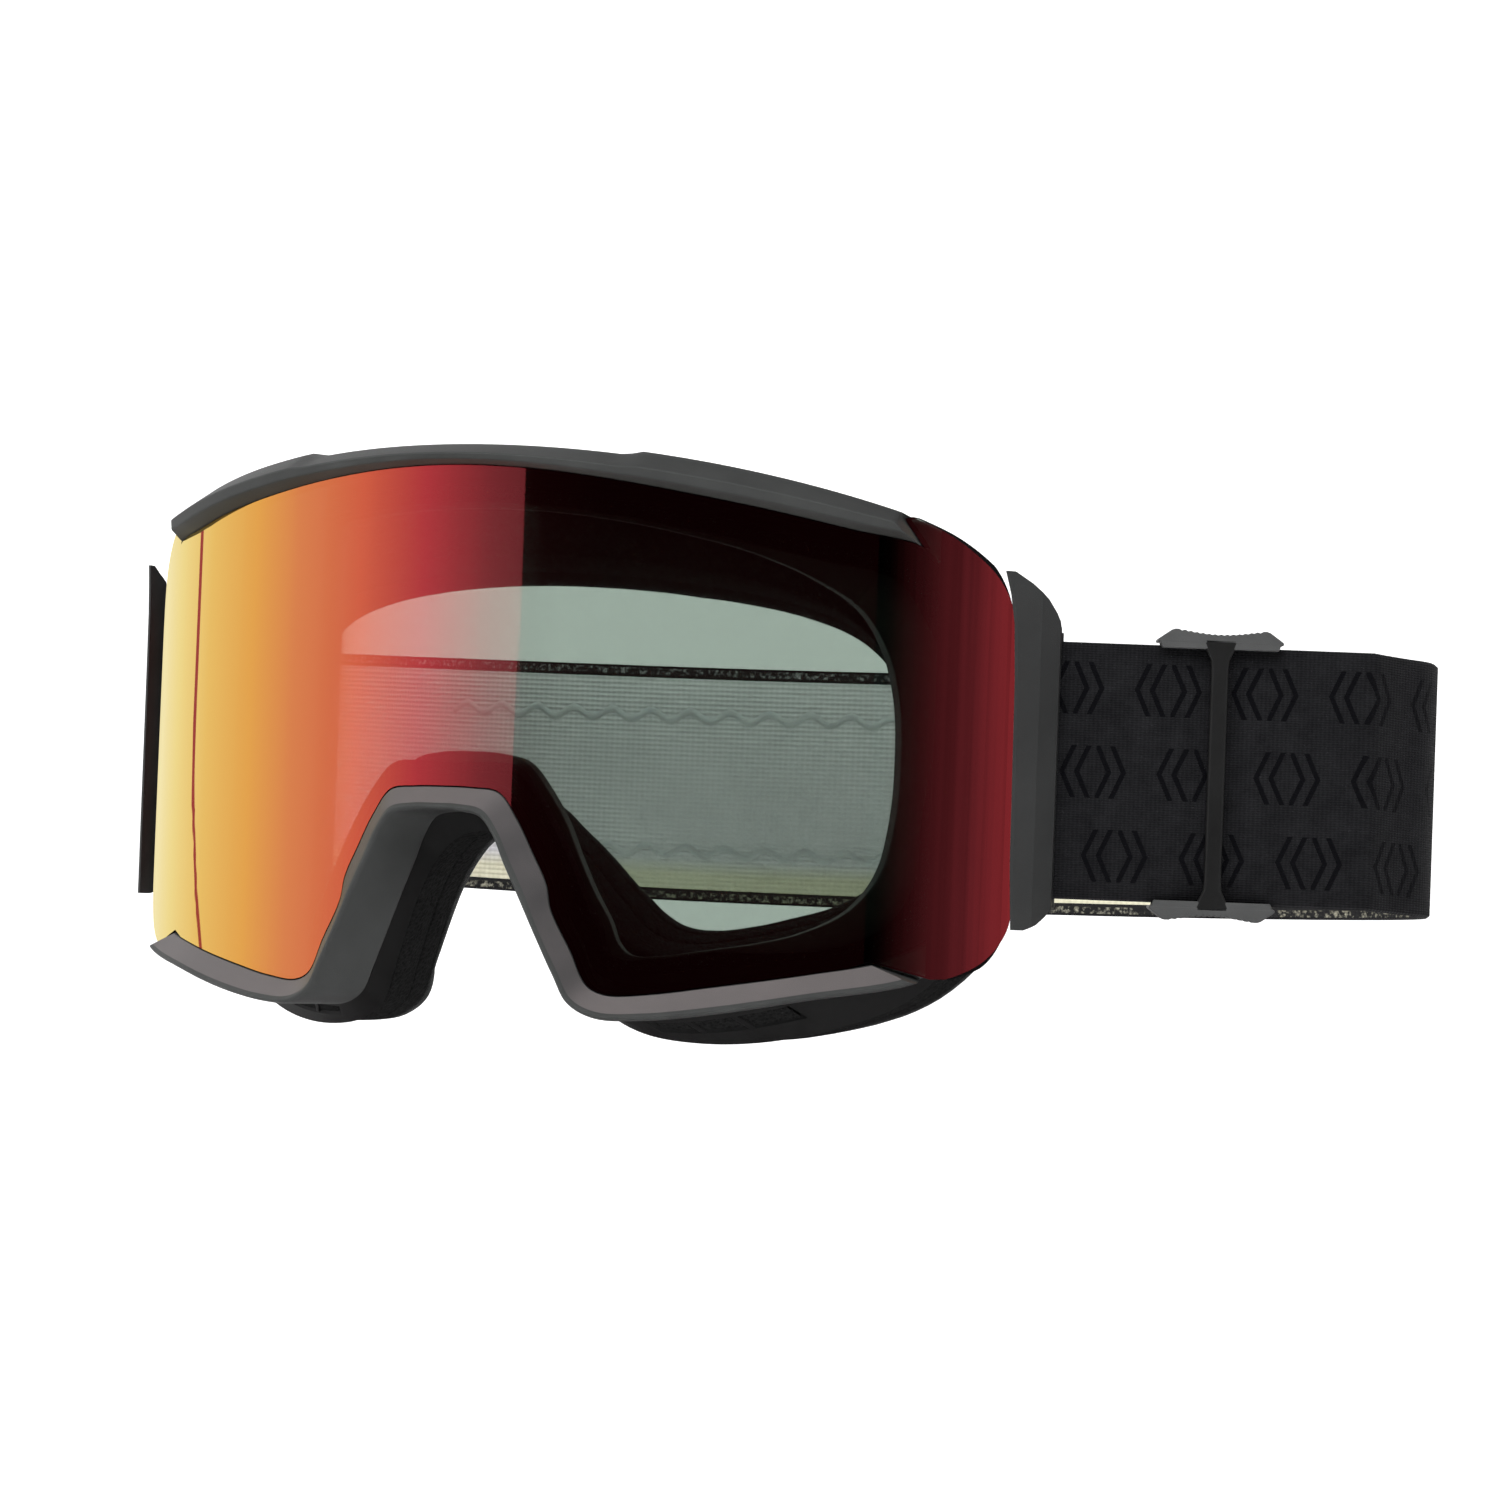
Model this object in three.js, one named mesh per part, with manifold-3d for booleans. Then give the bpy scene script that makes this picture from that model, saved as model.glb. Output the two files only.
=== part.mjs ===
// Ski goggles with a magnetic cylindrical lens, hinged strap outriggers and an elastic strap.
// Millimetres, +Z up, -Y is the way the wearer looks, +X is the wearer's left.
// The origin is where the middle of the face foam meets the face, on the plane of symmetry.
import * as THREE from 'three';
import { mergeVertices } from 'three/addons/utils/BufferGeometryUtils.js';
import Module from 'manifold-3d';

const wasm = await Module();
wasm.setup();

// ---------------------------------------------------------------- driving dimensions
const LENS_RADIUS = 108.9; // the lens is part of an upright cylinder
const FOAM_DEPTH = 38; // from the front of the lens to the back of the foam, in the middle
const FACE_RADIUS = 100; // curve of the foam's back
const NOSE_RELIEF = 6; // how much less deep the foam is beside the nose
const GAP = 0.3; // between neighbours that touch

const LENS_THICK = 2;
const LENS_HALF_WIDTH = 88.4;
const EDGE_CLEARANCE = 0.35; // between the lens edge and the frame
const GASKET_DEPTH = 4;
const INNER_PANE_THICK = 1.2;
const FRAME_FRONT = -2.4; // depths in front of the lens's outer face are positive
const PLATE_FRONT = -8.4;
const FRAME_BACK = -12;
const BROW_PROUD = 4;
const BEZEL_PROUD = 3.2;
const FOAM_LAYERS = [8, 5, 2.4]; // base, middle and the fleece on the face
const FLANGE_WALL = 2.2;
const FOAM_FLARE = 0.26; // share of the foam's width by which its hollow widens to the front

const STRAP_WIDTH = 45;
const STRAP_THICK = 1.6;
const STRAP_MIDDLE = -2.8; // height of the strap's middle line at the outriggers
const STRAP_DROOP = 3.5; // the loop's back hangs this much lower than its ends
const OUTRIGGER_SPLAY = 26.2; // degrees outwards from straight back
const PIN = new THREE.Vector2(84.6, 52.2); // hinge pin, in x and distance behind the lens's front
const PIN_RADIUS = 1.2;
const PIN_LENGTH = 42;
const SLIDER_LENGTH = 22;
const SLIDER_FROM_BAR = 28.5; // strap bar to the slider's middle
const STRAIGHT_RIGHT = 54; // straight stretch of strap behind each bar
const STRAIGHT_LEFT = 45;

// Each row is one station of the goggle's outline, from the top of the brow to the top of the
// nose, on one side: frame outside, lens stack edge, opening, foam outside, foam inside (x, z).
const STATIONS = [
  [[0, 49.0], [0, 46.2], [0, 39.2], [0, 46.5], [0, 26.8]],
  [[14, 48.7], [14, 45.6], [14, 38.8], [14, 46.2], [13, 26.5]],
  [[28, 47.7], [28, 44.0], [28, 37.4], [27, 45.2], [25, 25.7]],
  [[41, 46.3], [41, 41.9], [40, 35.4], [40, 43.4], [36, 24.4]],
  [[54, 44.0], [54, 39.5], [52, 32.6], [52, 40.6], [46, 22.3]],
  [[66, 40.7], [66, 36.8], [62, 28.6], [62.5, 36.4], [54, 19.0]],
  [[78.4, 37.9], [76.4, 34.2], [69.5, 23.5], [70.5, 30.6], [59, 13.5]],
  [[84.4, 31.8], [80.8, 28.2], [73.5, 16.5], [75.5, 23.6], [61, 7.5]],
  [[87.4, 21.4], [83.8, 19.8], [75.5, 8.0], [78.2, 14.8], [61.8, 2.0]],
  [[87.7, 6.0], [84.4, 6.0], [76, -2.0], [79.4, 4.0], [62, -4.5]],
  [[87.7, -12.0], [84.4, -12.0], [75.5, -13.0], [79.3, -10.0], [61.6, -11.0]],
  [[87.3, -26.8], [83.6, -25.0], [73.5, -22.5], [78, -24.0], [60.2, -18.0]],
  [[84.0, -36.0], [80, -32.8], [69, -29.0], [75, -35.0], [56.6, -24.5]],
  [[76, -41.0], [73.2, -37.0], [62, -33.0], [68, -44.4], [51, -28.2]],
  [[62, -44.3], [62, -39.9], [55, -35.0], [59, -49.2], [45, -30.2]],
  [[48, -47.3], [47, -42.8], [46, -36.6], [48.5, -52.2], [39, -31.9]],
  [[37, -48.8], [38, -44.3], [38.5, -37.8], [38, -53.0], [33, -33.0]],
  [[29.5, -48.7], [31, -44.7], [33.5, -37.8], [28.5, -51.6], [28.5, -32.6]],
  [[25.0, -46.4], [27.7, -43.2], [31.2, -35.8], [22.6, -48.0], [25, -30.5]],
  [[22.4, -41.8], [24.7, -37.4], [29.6, -32.2], [20.2, -42.4], [22.5, -28.0]],
  [[19.0, -35.0], [21.5, -31.0], [26.2, -26.6], [17.4, -35.4], [19.6, -25.0]],
  [[15.7, -28.3], [19.4, -26.4], [23.3, -21.0], [14.4, -28.7], [16.8, -21.8]],
  [[12.9, -22.7], [17.4, -20.8], [20.6, -15.4], [11.6, -24.0], [13.7, -18.6]],
  [[10.8, -18.1], [14.3, -15.1], [16.6, -9.6], [8.6, -20.6], [10.2, -15.6]],
  [[8.2, -15.0], [10.8, -10.7], [12, -5.0], [5.6, -18.4], [6.6, -12.8]],
  [[4.2, -14.1], [5.8, -10.0], [6, -3.6], [2.8, -17.4], [3.3, -11.4]],
  [[0, -14.0], [0, -9.9], [0, -3.4], [0, -17.2], [0, -11.0]],
];
const HALF = STATIONS.length - 1; // stations from the top to the nose
const LAST_BEZEL = 13; // station at which the lower bezel's tip begins
const BROW_STATIONS = 7; // the brow ends before this station
const STEPS = 2; // facets between two stations
// The lens's free outline beyond the brow and the lower bezel, from top to bottom (x, z).
const LENS_SIDE = [
  [66, 42.3], [71.5, 40.7], [75.8, 38.7], [79.2, 36.7], [82.4, 33.9], [85.3, 30.2], [87.2, 25.5],
  [88.2, 19], [LENS_HALF_WIDTH, 10], [LENS_HALF_WIDTH, -26], [88.1, -30.5], [87.0, -33.8],
  [85.2, -36.7], [82.4, -39], [78, -40.9], [74, -42.1],
];
// The end faces of the brow and of the lower bezel, straight to the front (x, z).
const BROW_END = [[71.8, 44], [71.9, 40.9], [75.6, 34.4], [75.6, 30]];
const BEZEL_END = [[70.2, -30], [70.2, -37.6], [78.4, -40.9], [78.8, -45]];

const COLOURS = {
  frame: [0x3b3d3e, 0.62, 0],
  dark: [0x1b1b1d, 0.7, 0],
  lens: [0xd2552f, 0.08, 0.6],
  pane: [0x9aa8a0, 0.1, 0],
  foam: [0x1c1c1d, 0.95, 0],
  fleece: [0x232324, 0.98, 0],
  strap: [0x242426, 0.9, 0],
  silicone: [0xb8b3a6, 0.5, 0],
  magnet: [0xa9abad, 0.3, 1],
  steel: [0x8f9193, 0.35, 1],
};

const goggles = new THREE.Group();

// ---------------------------------------------------------------- meshes and booleans
function addPart(name, geometry, colour) {
  const [hex, roughness, metalness] = COLOURS[colour];
  const material = new THREE.MeshStandardMaterial({ color: hex, roughness, metalness });
  const mesh = new THREE.Mesh(geometry, material);
  mesh.name = name;
  goggles.add(mesh);
}

function volumeOf(geometry) {
  const p = geometry.attributes.position;
  const index = geometry.index.array;
  const [a, b, c] = [new THREE.Vector3(), new THREE.Vector3(), new THREE.Vector3()];
  let six = 0;
  for (let i = 0; i < index.length; i += 3) {
    a.fromBufferAttribute(p, index[i]);
    b.fromBufferAttribute(p, index[i + 1]);
    c.fromBufferAttribute(p, index[i + 2]);
    six += a.dot(b.cross(c));
  }
  return six / 6;
}

function indexed(positions, triangles) {
  const geometry = new THREE.BufferGeometry();
  geometry.setAttribute('position', new THREE.Float32BufferAttribute(positions, 3));
  geometry.setIndex(triangles);
  if (volumeOf(geometry) < 0) {
    geometry.setIndex(triangles.slice().reverse());
  }
  geometry.computeVertexNormals();
  return geometry;
}

function toSolid(geometry) {
  const bare = geometry.clone();
  bare.deleteAttribute('normal');
  bare.deleteAttribute('uv');
  const merged = mergeVertices(bare, 1e-4);
  const vertProperties = new Float32Array(merged.attributes.position.array);
  const triVerts = new Uint32Array(merged.index.array);
  return new wasm.Manifold(new wasm.Mesh({ numProp: 3, vertProperties, triVerts }));
}

function toGeometry(solid) {
  const mesh = solid.getMesh();
  return indexed(Array.from(mesh.vertProperties), Array.from(mesh.triVerts));
}

// A solid through a row of sections, each a list of points in the same order. A closed row joins
// its last section to its first one; an open row gets flat ends. Each quad is split along its
// shorter diagonal, so that the facing walls of neighbours are split alike.
function loft(sections, closed) {
  const count = sections[0].length;
  const positions = sections.flat().flatMap((p) => [p.x, p.y, p.z]);
  const triangles = [];
  const rows = closed ? sections.length : sections.length - 1;
  for (let i = 0; i < rows; i += 1) {
    const next = (i + 1) % sections.length;
    for (let j = 0; j < count; j += 1) {
      const k = (j + 1) % count;
      const [a, b] = [i * count + j, i * count + k];
      const [c, d] = [next * count + k, next * count + j];
      const alongAC = sections[i][j].distanceTo(sections[next][k]);
      const alongBD = sections[i][k].distanceTo(sections[next][j]);
      triangles.push(...(alongAC < alongBD + 1e-4 ? [a, b, c, a, c, d] : [a, b, d, b, c, d]));
    }
  }
  if (!closed) {
    const last = (sections.length - 1) * count;
    for (let j = 1; j < count - 1; j += 1) {
      triangles.push(0, j + 1, j);
      triangles.push(last, last + j, last + j + 1);
    }
  }
  return indexed(positions, triangles);
}

// A prism along Y of an outline in (x, z), between two distances behind the lens's front.
function prismAlongY(outline, from, to) {
  const shape = new THREE.Shape(outline.map(([x, z]) => new THREE.Vector2(x, z)));
  const geometry = new THREE.ExtrudeGeometry(shape, { depth: to - from, bevelEnabled: false });
  geometry.rotateX(Math.PI / 2);
  geometry.translate(0, to - FOAM_DEPTH, 0);
  return geometry;
}

// An upright prism of an outline in (x, distance behind the lens's front).
function prismAlongZ(outline, low, high) {
  const shape = new THREE.Shape(outline.map(([x, y]) => new THREE.Vector2(x, y - FOAM_DEPTH)));
  const geometry = new THREE.ExtrudeGeometry(shape, { depth: high - low, bevelEnabled: false });
  geometry.translate(0, 0, low);
  return geometry;
}

function mirrored(outline) {
  return outline.map(([x, z]) => [-x, z]);
}

// ---------------------------------------------------------------- surfaces and edges
// The point at front-view place (x, z), a depth in front of the lens's outer face.
function onLens(x, z, depth) {
  const angle = Math.asin(x / LENS_RADIUS);
  const r = LENS_RADIUS + depth;
  return new THREE.Vector3(r * Math.sin(angle), LENS_RADIUS - r * Math.cos(angle) - FOAM_DEPTH, z);
}

// How far back the foam reaches at (x, z); the origin is on this surface.
function faceDepth(x, z) {
  const curve = FACE_RADIUS - Math.sqrt(FACE_RADIUS ** 2 - x ** 2);
  const low = THREE.MathUtils.smoothstep(-z, 2, 20);
  return curve - NOSE_RELIEF * Math.exp(-((x / 26) ** 2)) * low;
}

function onFace(x, z, forward) {
  return new THREE.Vector3(x, faceDepth(x, z) - forward, z);
}

// The top of the brow, with a raised pad on each side.
function browTop(x) {
  const u = LENS_RADIUS * Math.asin(Math.abs(x) / LENS_RADIUS);
  const pad = 0.9 * THREE.MathUtils.smoothstep(u, 30.5, 35);
  return 49.8 - 0.00162 * u * u + pad;
}

// One whole outline from one column of STATIONS, as a smooth closed curve with its stations at
// whole numbers: 0 is the top, HALF is the nose, and 2 * HALF is the top again.
function outline(column) {
  const right = STATIONS.map((row) => row[column]);
  const left = right.slice(1, HALF).reverse().map(([x, z]) => [-x, z]);
  const points = [...right, ...left].map(([x, z]) => new THREE.Vector3(x, z, 0));
  const curve = new THREE.CatmullRomCurve3(points, true, 'centripetal');
  return (station) => {
    const p = curve.getPoint(THREE.MathUtils.euclideanModulo(station / (2 * HALF), 1));
    return [p.x, p.y];
  };
}

const frameEdge = outline(0);
const stackEdge = outline(1);
const openingEdge = outline(2);
const foamOutside = outline(3);
const foamInside = outline(4);

// The outline that lies a distance from one outline towards another.
function inset(from, towards, distance) {
  return (station) => {
    const [ax, az] = from(station);
    const [bx, bz] = towards(station);
    const share = distance / Math.hypot(bx - ax, bz - az);
    return [ax + (bx - ax) * share, az + (bz - az) * share];
  };
}

function stationsBetween(first, last, steps = STEPS) {
  const count = Math.round((last - first) * steps);
  return Array.from({ length: count + 1 }, (unused, i) => first + (i * (last - first)) / count);
}

const WHOLE_LOOP = stationsBetween(0, 2 * HALF).slice(0, -1);
const COARSE_LOOP = stationsBetween(0, 2 * HALF, 1).slice(0, -1);

// A band on the lens's cylinder between two outlines. The section is a list of
// [share of the way from the first outline to the second, depth in front of the lens].
function band(stations, first, second, section, closed) {
  const rings = stations.map((s) => {
    const [ax, az] = first(s);
    const [bx, bz] = second(s);
    return section.map(([t, depth]) => onLens(ax + (bx - ax) * t, az + (bz - az) * t, depth));
  });
  return loft(rings, closed);
}

function box(back, front) {
  return [[0, back], [0, front], [1, front], [1, back]];
}

// ---------------------------------------------------------------- lens assembly
const lensEdge = inset(stackEdge, openingEdge, EDGE_CLEARANCE);

// The height of an outline at x, where the outline runs outwards.
function heightAt(points, x) {
  const next = points.findIndex(([px]) => px >= x);
  const last = next < 0 ? points.length - 1 : Math.max(next, 1);
  const [bx, bz] = points[last];
  const [ax, az] = points[last - 1];
  return az + ((bz - az) * (x - ax)) / (bx - ax);
}

// The outer lens: its top and bottom as functions of x, then notched for the brow's tips and for
// the tips of the lower bezel.
function outerLens() {
  const lowEdge = stationsBetween(LAST_BEZEL + 1, HALF).map(lensEdge).reverse();
  const highEdge = stationsBetween(0, BROW_STATIONS).map(stackEdge).map(([x, z]) => [x, z + 3]);
  const bottom = [...lowEdge, ...LENS_SIDE.filter(([, z]) => z < -20).reverse()];
  const top = [...highEdge.filter(([x]) => x < 64), ...LENS_SIDE.filter(([, z]) => z > 0)];
  const places = [...bottom, ...top].map(([x]) => x).sort((a, b) => a - b);
  const right = places.filter((x, i) => i === 0 || x - places[i - 1] > 0.8);
  const all = [...right.slice(1).reverse().map((x) => -x), ...right];
  const rings = all.map((x) => {
    const low = heightAt(bottom, Math.abs(x));
    const high = heightAt(top, Math.abs(x));
    return [[low, -LENS_THICK], [low, 0], [high, 0], [high, -LENS_THICK]]
      .map(([z, depth]) => onLens(x, z, depth));
  });
  let solid = toSolid(loft(rings, false));
  for (const cutter of [browSpace(EDGE_CLEARANCE), bezelTipSpace(EDGE_CLEARANCE)]) {
    solid = solid.subtract(cutter);
  }
  return toGeometry(solid);
}

// How much nearer the middle an edge lies at the lens's back than at its front.
const REAR_SHRINK = 1 + FRAME_FRONT / LENS_RADIUS;

// The space that the brow takes in the front view, grown by a clearance.
function browSpace(clearance) {
  const tip = BROW_END[2][0] + clearance;
  const rear = stationsBetween(0, BROW_STATIONS).map(stackEdge)
    .map(([x, z]) => [x * REAR_SHRINK, z - clearance]);
  const lower = [...rear.filter(([x]) => x < tip), [tip, heightAt(rear, tip)]];
  const end = BROW_END.slice(1, 3).reverse().map(([x, z]) => [x + clearance, z]);
  const right = [...lower, ...end, [BROW_END[0][0] + clearance, 60]];
  const left = mirrored(right).reverse();
  return toSolid(prismAlongY([...left.slice(0, -1), ...right], -20, 60));
}

// The space that the tips of the lower bezel take in the front view, grown by a clearance.
function bezelTipSpace(clearance) {
  const inner = stationsBetween(LAST_BEZEL + 0.5, LAST_BEZEL + 1).map(stackEdge);
  const upper = inner.reverse().map(([x, z]) => [x * REAR_SHRINK, z + clearance]);
  const end = BEZEL_END.slice(1, 3).map(([x, z]) => [x + clearance, z + clearance]);
  const right = [[62, -60], ...upper.filter(([x]) => x < 69), ...end, [80, -60]];
  const sides = [right, mirrored(right).reverse()];
  const [a, b] = sides.map((side) => toSolid(prismAlongY(side, -20, 60)));
  return a.add(b);
}

const STACK_BACK = -LENS_THICK - GAP - GASKET_DEPTH; // back of the gasket

// An outline inside the stack's edge. Beside the nose the frame's walls lean inwards to the front,
// so there the stack keeps further off them, to come out straight to the front.
function stackInset(distance) {
  return (station) => {
    const fromTop = Math.min(station, 2 * HALF - station);
    const nose = THREE.MathUtils.smoothstep(fromTop, 15.5, 17.5);
    const lean = (Math.abs(stackEdge(station)[0]) / LENS_RADIUS) * -PLATE_FRONT;
    const extra = nose * (lean - 0.3 * distance);
    return inset(stackEdge, openingEdge, distance + extra)(station);
  };
}

function lensCarrier() {
  const outer = stackInset(0.6);
  const inner = stackInset(3.4);
  const ring = band(WHOLE_LOOP, outer, inner, box(PLATE_FRONT + GAP, -LENS_THICK - GAP), true);
  let solid = toSolid(ring);
  for (const place of MAGNET_STATIONS) {
    solid = solid.subtract(toSolid(magnet(place, 0.2, LENS_MAGNET_BACK - 1, LENS_MAGNET_BACK + 2.4)));
  }
  return toGeometry(solid);
}

function gasket() {
  const outer = stackInset(4.1);
  const inner = stackInset(6);
  return band(COARSE_LOOP, outer, inner, box(STACK_BACK, -LENS_THICK - GAP), true);
}

// The inner pane, as a row of upright strips between the top and the bottom of its outline.
function innerPane() {
  const edge = stackInset(3.8);
  const count = 2 * HALF;
  const upper = stationsBetween(0, 9.5, 4).map(edge);
  const lower = stationsBetween(9.5, HALF, 4).map(edge).reverse();
  const limit = Math.min(upper.at(-1)[0], lower.at(-1)[0]) - 0.6;
  const places = Array.from({ length: count + 1 }, (unused, i) => Math.sin((i / count) * 1.5708));
  const right = places.map((share) => share * limit);
  const all = [...right.slice(1).reverse().map((x) => -x), ...right];
  const back = STACK_BACK - GAP - INNER_PANE_THICK;
  const rings = all.map((x) => {
    const high = heightAt(upper, Math.abs(x));
    const low = heightAt(lower, Math.abs(x));
    return [[low, back], [low, STACK_BACK - GAP], [high, STACK_BACK - GAP], [high, back]]
      .map(([z, depth]) => onLens(x, z, depth));
  });
  return loft(rings, false);
}

// Bar magnets in the lens carrier and facing ones in the frame.
const MAGNET_STATIONS = [2.6, 14.6, 2 * HALF - 14.6, 2 * HALF - 2.6];
const MAGNET_HALF_LENGTH = 0.35; // in stations
const LENS_MAGNET_BACK = PLATE_FRONT + GAP + 0.2;
const FRAME_MAGNET_BACK = PLATE_FRONT - 2.4;

function magnet(place, grow, back, front) {
  const outer = inset(stackEdge, openingEdge, 1.2 - grow);
  const inner = inset(stackEdge, openingEdge, 2.8 + grow);
  const reach = MAGNET_HALF_LENGTH + grow / 12;
  const stations = stationsBetween(place - reach, place + reach, 5);
  return band(stations, outer, inner, box(back, front), false);
}

// ---------------------------------------------------------------- frame
// The front of the frame in three zones of its outline, from the lens edge outwards:
// [share of the way from the stack edge to the outside, depth in front of the lens].
const BROW_SECTION = [[0, 1], [0.1, 1.8], [0.42, BROW_PROUD], [0.9, 0.2], [1, -1.6]];
const SIDE_SECTION = [[0, -2.4], [0.1, -2.4], [0.5, -2.4], [0.9, -2.4], [1, -2.8]];
const BEZEL_SECTION = [[0, -0.8], [0.7, 2.7], [0.84, BEZEL_PROUD], [0.95, 2.7], [1, 1.6]];

function frontSection(station) {
  const fromTop = Math.min(station, 2 * HALF - station);
  if (fromTop < BROW_STATIONS) {
    return BROW_SECTION;
  }
  return fromTop < LAST_BEZEL - 1 ? SIDE_SECTION : BEZEL_SECTION;
}

// The frame's outside, which rises to the brow's top over the lens.
function outerEdge(station) {
  const fromTop = Math.min(station, 2 * HALF - station);
  const [x, z] = frameEdge(station);
  const share = 1 - THREE.MathUtils.smoothstep(fromTop, 5.6, 6.4);
  return [x, z + share * (browTop(x) - z)];
}

// One ring round the lens: plate, rim, brow and lower bezel.
function frameRing() {
  const rings = WHOLE_LOOP.map((s) => {
    const [stack, opening, outer] = [stackEdge(s), openingEdge(s), outerEdge(s)];
    const between = ([t, depth]) => {
      const x = stack[0] + (outer[0] - stack[0]) * t;
      return onLens(x, stack[1] + (outer[1] - stack[1]) * t, depth);
    };
    return [
      onLens(...opening, PLATE_FRONT),
      onLens(...stack, PLATE_FRONT),
      ...frontSection(s).map(between),
      between([1, FRAME_BACK + 1]),
      between([0.7, FRAME_BACK]),
      onLens(...stack, FRAME_BACK),
      onLens(...opening, FRAME_BACK),
    ];
  });
  return toSolid(loft(rings, true));
}

// What is cut away between the brow's tip and the lower bezel's tip, in front of the rim.
function templeCut(side) {
  const gap = [...BROW_END, ...BEZEL_END, [100, -45], [100, 60], [71.8, 60]];
  const prism = toSolid(prismAlongY(side > 0 ? gap : mirrored(gap).reverse(), -20, 60));
  const stations = Array.from({ length: 49 }, (unused, i) => -96 + i * 4);
  const low = (x) => [x, -70];
  const high = (x) => [x, 70];
  return prism.intersect(toSolid(band(stations, low, high, box(FRAME_FRONT + 0.1, 30), false)));
}

// Two lugs on each temple of the frame hold the outrigger's pin.
const LUG_HEIGHTS = [[11, 16], [-16, -11]];

function lugs(side) {
  const [px, py] = [PIN.x, PIN.y];
  const plan = [
    [px - 9.8, py - 5.2], [px - 2.8, py - 8.4], [px + 2.2, py - 2.2], [px + 2.7, py + 0.4],
    [px + 1.5, py + 2.3], [px - 0.6, py + 2.8], [px - 3.4, py + 1.0],
  ];
  const outlineOf = side > 0 ? plan : mirrored(plan).reverse();
  return LUG_HEIGHTS.map(([low, high]) => toSolid(prismAlongZ(outlineOf, low, high)));
}

function pinBore(side, radius) {
  const bore = new THREE.CylinderGeometry(radius, radius, PIN_LENGTH + 4, 16);
  bore.rotateX(Math.PI / 2);
  bore.translate(side * PIN.x, PIN.y - FOAM_DEPTH, 0);
  return toSolid(bore);
}

function frame() {
  let solid = frameRing();
  for (const side of [1, -1]) {
    solid = solid.subtract(templeCut(side));
    for (const lug of lugs(side)) {
      solid = solid.add(lug);
    }
    solid = solid.subtract(pinBore(side, PIN_RADIUS + 0.05));
  }
  for (const place of MAGNET_STATIONS) {
    const pocket = magnet(place, 0.2, FRAME_MAGNET_BACK - 0.2, PLATE_FRONT + 1);
    solid = solid.subtract(toSolid(pocket));
  }
  return toGeometry(solid);
}

// ---------------------------------------------------------------- flange, filters and foam
const FOAM_TOTAL = FOAM_LAYERS.reduce((sum, t) => sum + t, 0) + 2 * GAP;

function flange() {
  const front = FRAME_BACK - 0.5;
  const rear = FOAM_TOTAL + GAP;
  const frontOuter = inset(frameEdge, openingEdge, 1);
  const frontInner = inset(frameEdge, openingEdge, 1 + FLANGE_WALL);
  const rearWall = inset(foamOutside, foamInside, FLANGE_WALL);
  const rearShelf = inset(foamOutside, foamInside, 6);
  const rings = WHOLE_LOOP.map((s) => [
    onLens(...frontOuter(s), front),
    onFace(...foamOutside(s), rear),
    onFace(...rearShelf(s), rear),
    onFace(...rearShelf(s), rear + 1.6),
    onFace(...rearWall(s), rear + 1.6),
    onLens(...frontInner(s), front),
  ]);
  let solid = toSolid(loft(rings, true));
  for (const [first, last] of VENTS) {
    solid = solid.subtract(toSolid(ventBlock(first, last, -1, 1)));
  }
  return toGeometry(solid);
}

// Stations between which the flange is cut open for air, with a foam filter in each opening.
const VENTS = [
  [-3.4, 3.4],
  [14.2, 16.4],
  [2 * HALF - 16.4, 2 * HALF - 14.2],
];

// A block through the flange's wall: grown past the wall it is the cutter, shrunk the filter.
function ventBlock(first, last, grow, wall) {
  const frontMid = inset(frameEdge, openingEdge, 1 + FLANGE_WALL / 2);
  const rearMid = inset(foamOutside, foamInside, FLANGE_WALL / 2);
  const rings = stationsBetween(first, last, 2).map((s) => {
    const a = onLens(...frontMid(s), FRAME_BACK - GAP);
    const b = onFace(...rearMid(s), FOAM_TOTAL + GAP);
    const along = b.clone().sub(a);
    const [ix, iz] = openingEdge(s);
    const [ox, oz] = frameEdge(s);
    const across = new THREE.Vector3(ox - ix, 0, oz - iz).normalize();
    const reach = wall * (FLANGE_WALL + 1);
    const near = a.clone().addScaledVector(along, 0.26 - grow * 0.02 + 0.02);
    const far = a.clone().addScaledVector(along, 0.66 + grow * 0.02 - 0.02);
    return [
      near.clone().addScaledVector(across, reach),
      far.clone().addScaledVector(across, reach),
      far.clone().addScaledVector(across, -reach),
      near.clone().addScaledVector(across, -reach),
    ];
  });
  return loft(rings, false);
}

function foamLayer(index) {
  const behind = FOAM_LAYERS.slice(index + 1).reduce((sum, t) => sum + t + GAP, 0);
  const ahead = behind + FOAM_LAYERS[index];
  const outer = inset(foamOutside, foamInside, 0.3);
  const rings = COARSE_LOOP.map((s) => [
    onFace(...outer(s), ahead),
    onFace(...outer(s), behind),
    onFace(...hollowEdge(s, behind), behind),
    onFace(...hollowEdge(s, ahead), ahead),
  ]);
  return loft(rings, true);
}

// The foam's hollow widens from the face to the front.
function hollowEdge(station, forward) {
  const [ix, iz] = foamInside(station);
  const [ox, oz] = foamOutside(station);
  const share = (FOAM_FLARE * forward) / FOAM_TOTAL;
  return [ix + (ox - ix) * share, iz + (oz - iz) * share];
}

// ---------------------------------------------------------------- outriggers
const splay = THREE.MathUtils.degToRad(OUTRIGGER_SPLAY);
const rearwards = new THREE.Vector2(Math.sin(splay), Math.cos(splay));
const outwards = new THREE.Vector2(Math.cos(splay), -Math.sin(splay));

// A place in plan, from the pin: along the outrigger and out from the head.
function fromPin(along, out) {
  const p = PIN.clone().addScaledVector(rearwards, along).addScaledVector(outwards, out);
  return [p.x, p.y];
}

const PLATE_OUT = 9.1; // the outrigger's outer face, from the pin
const PLATE_THICK = 2.6;
const BAR = [5.8, 3.8]; // strap bar, along and out from the pin
const BAR_RADIUS = 1.4;
const ARM_THICK = 2;
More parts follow.
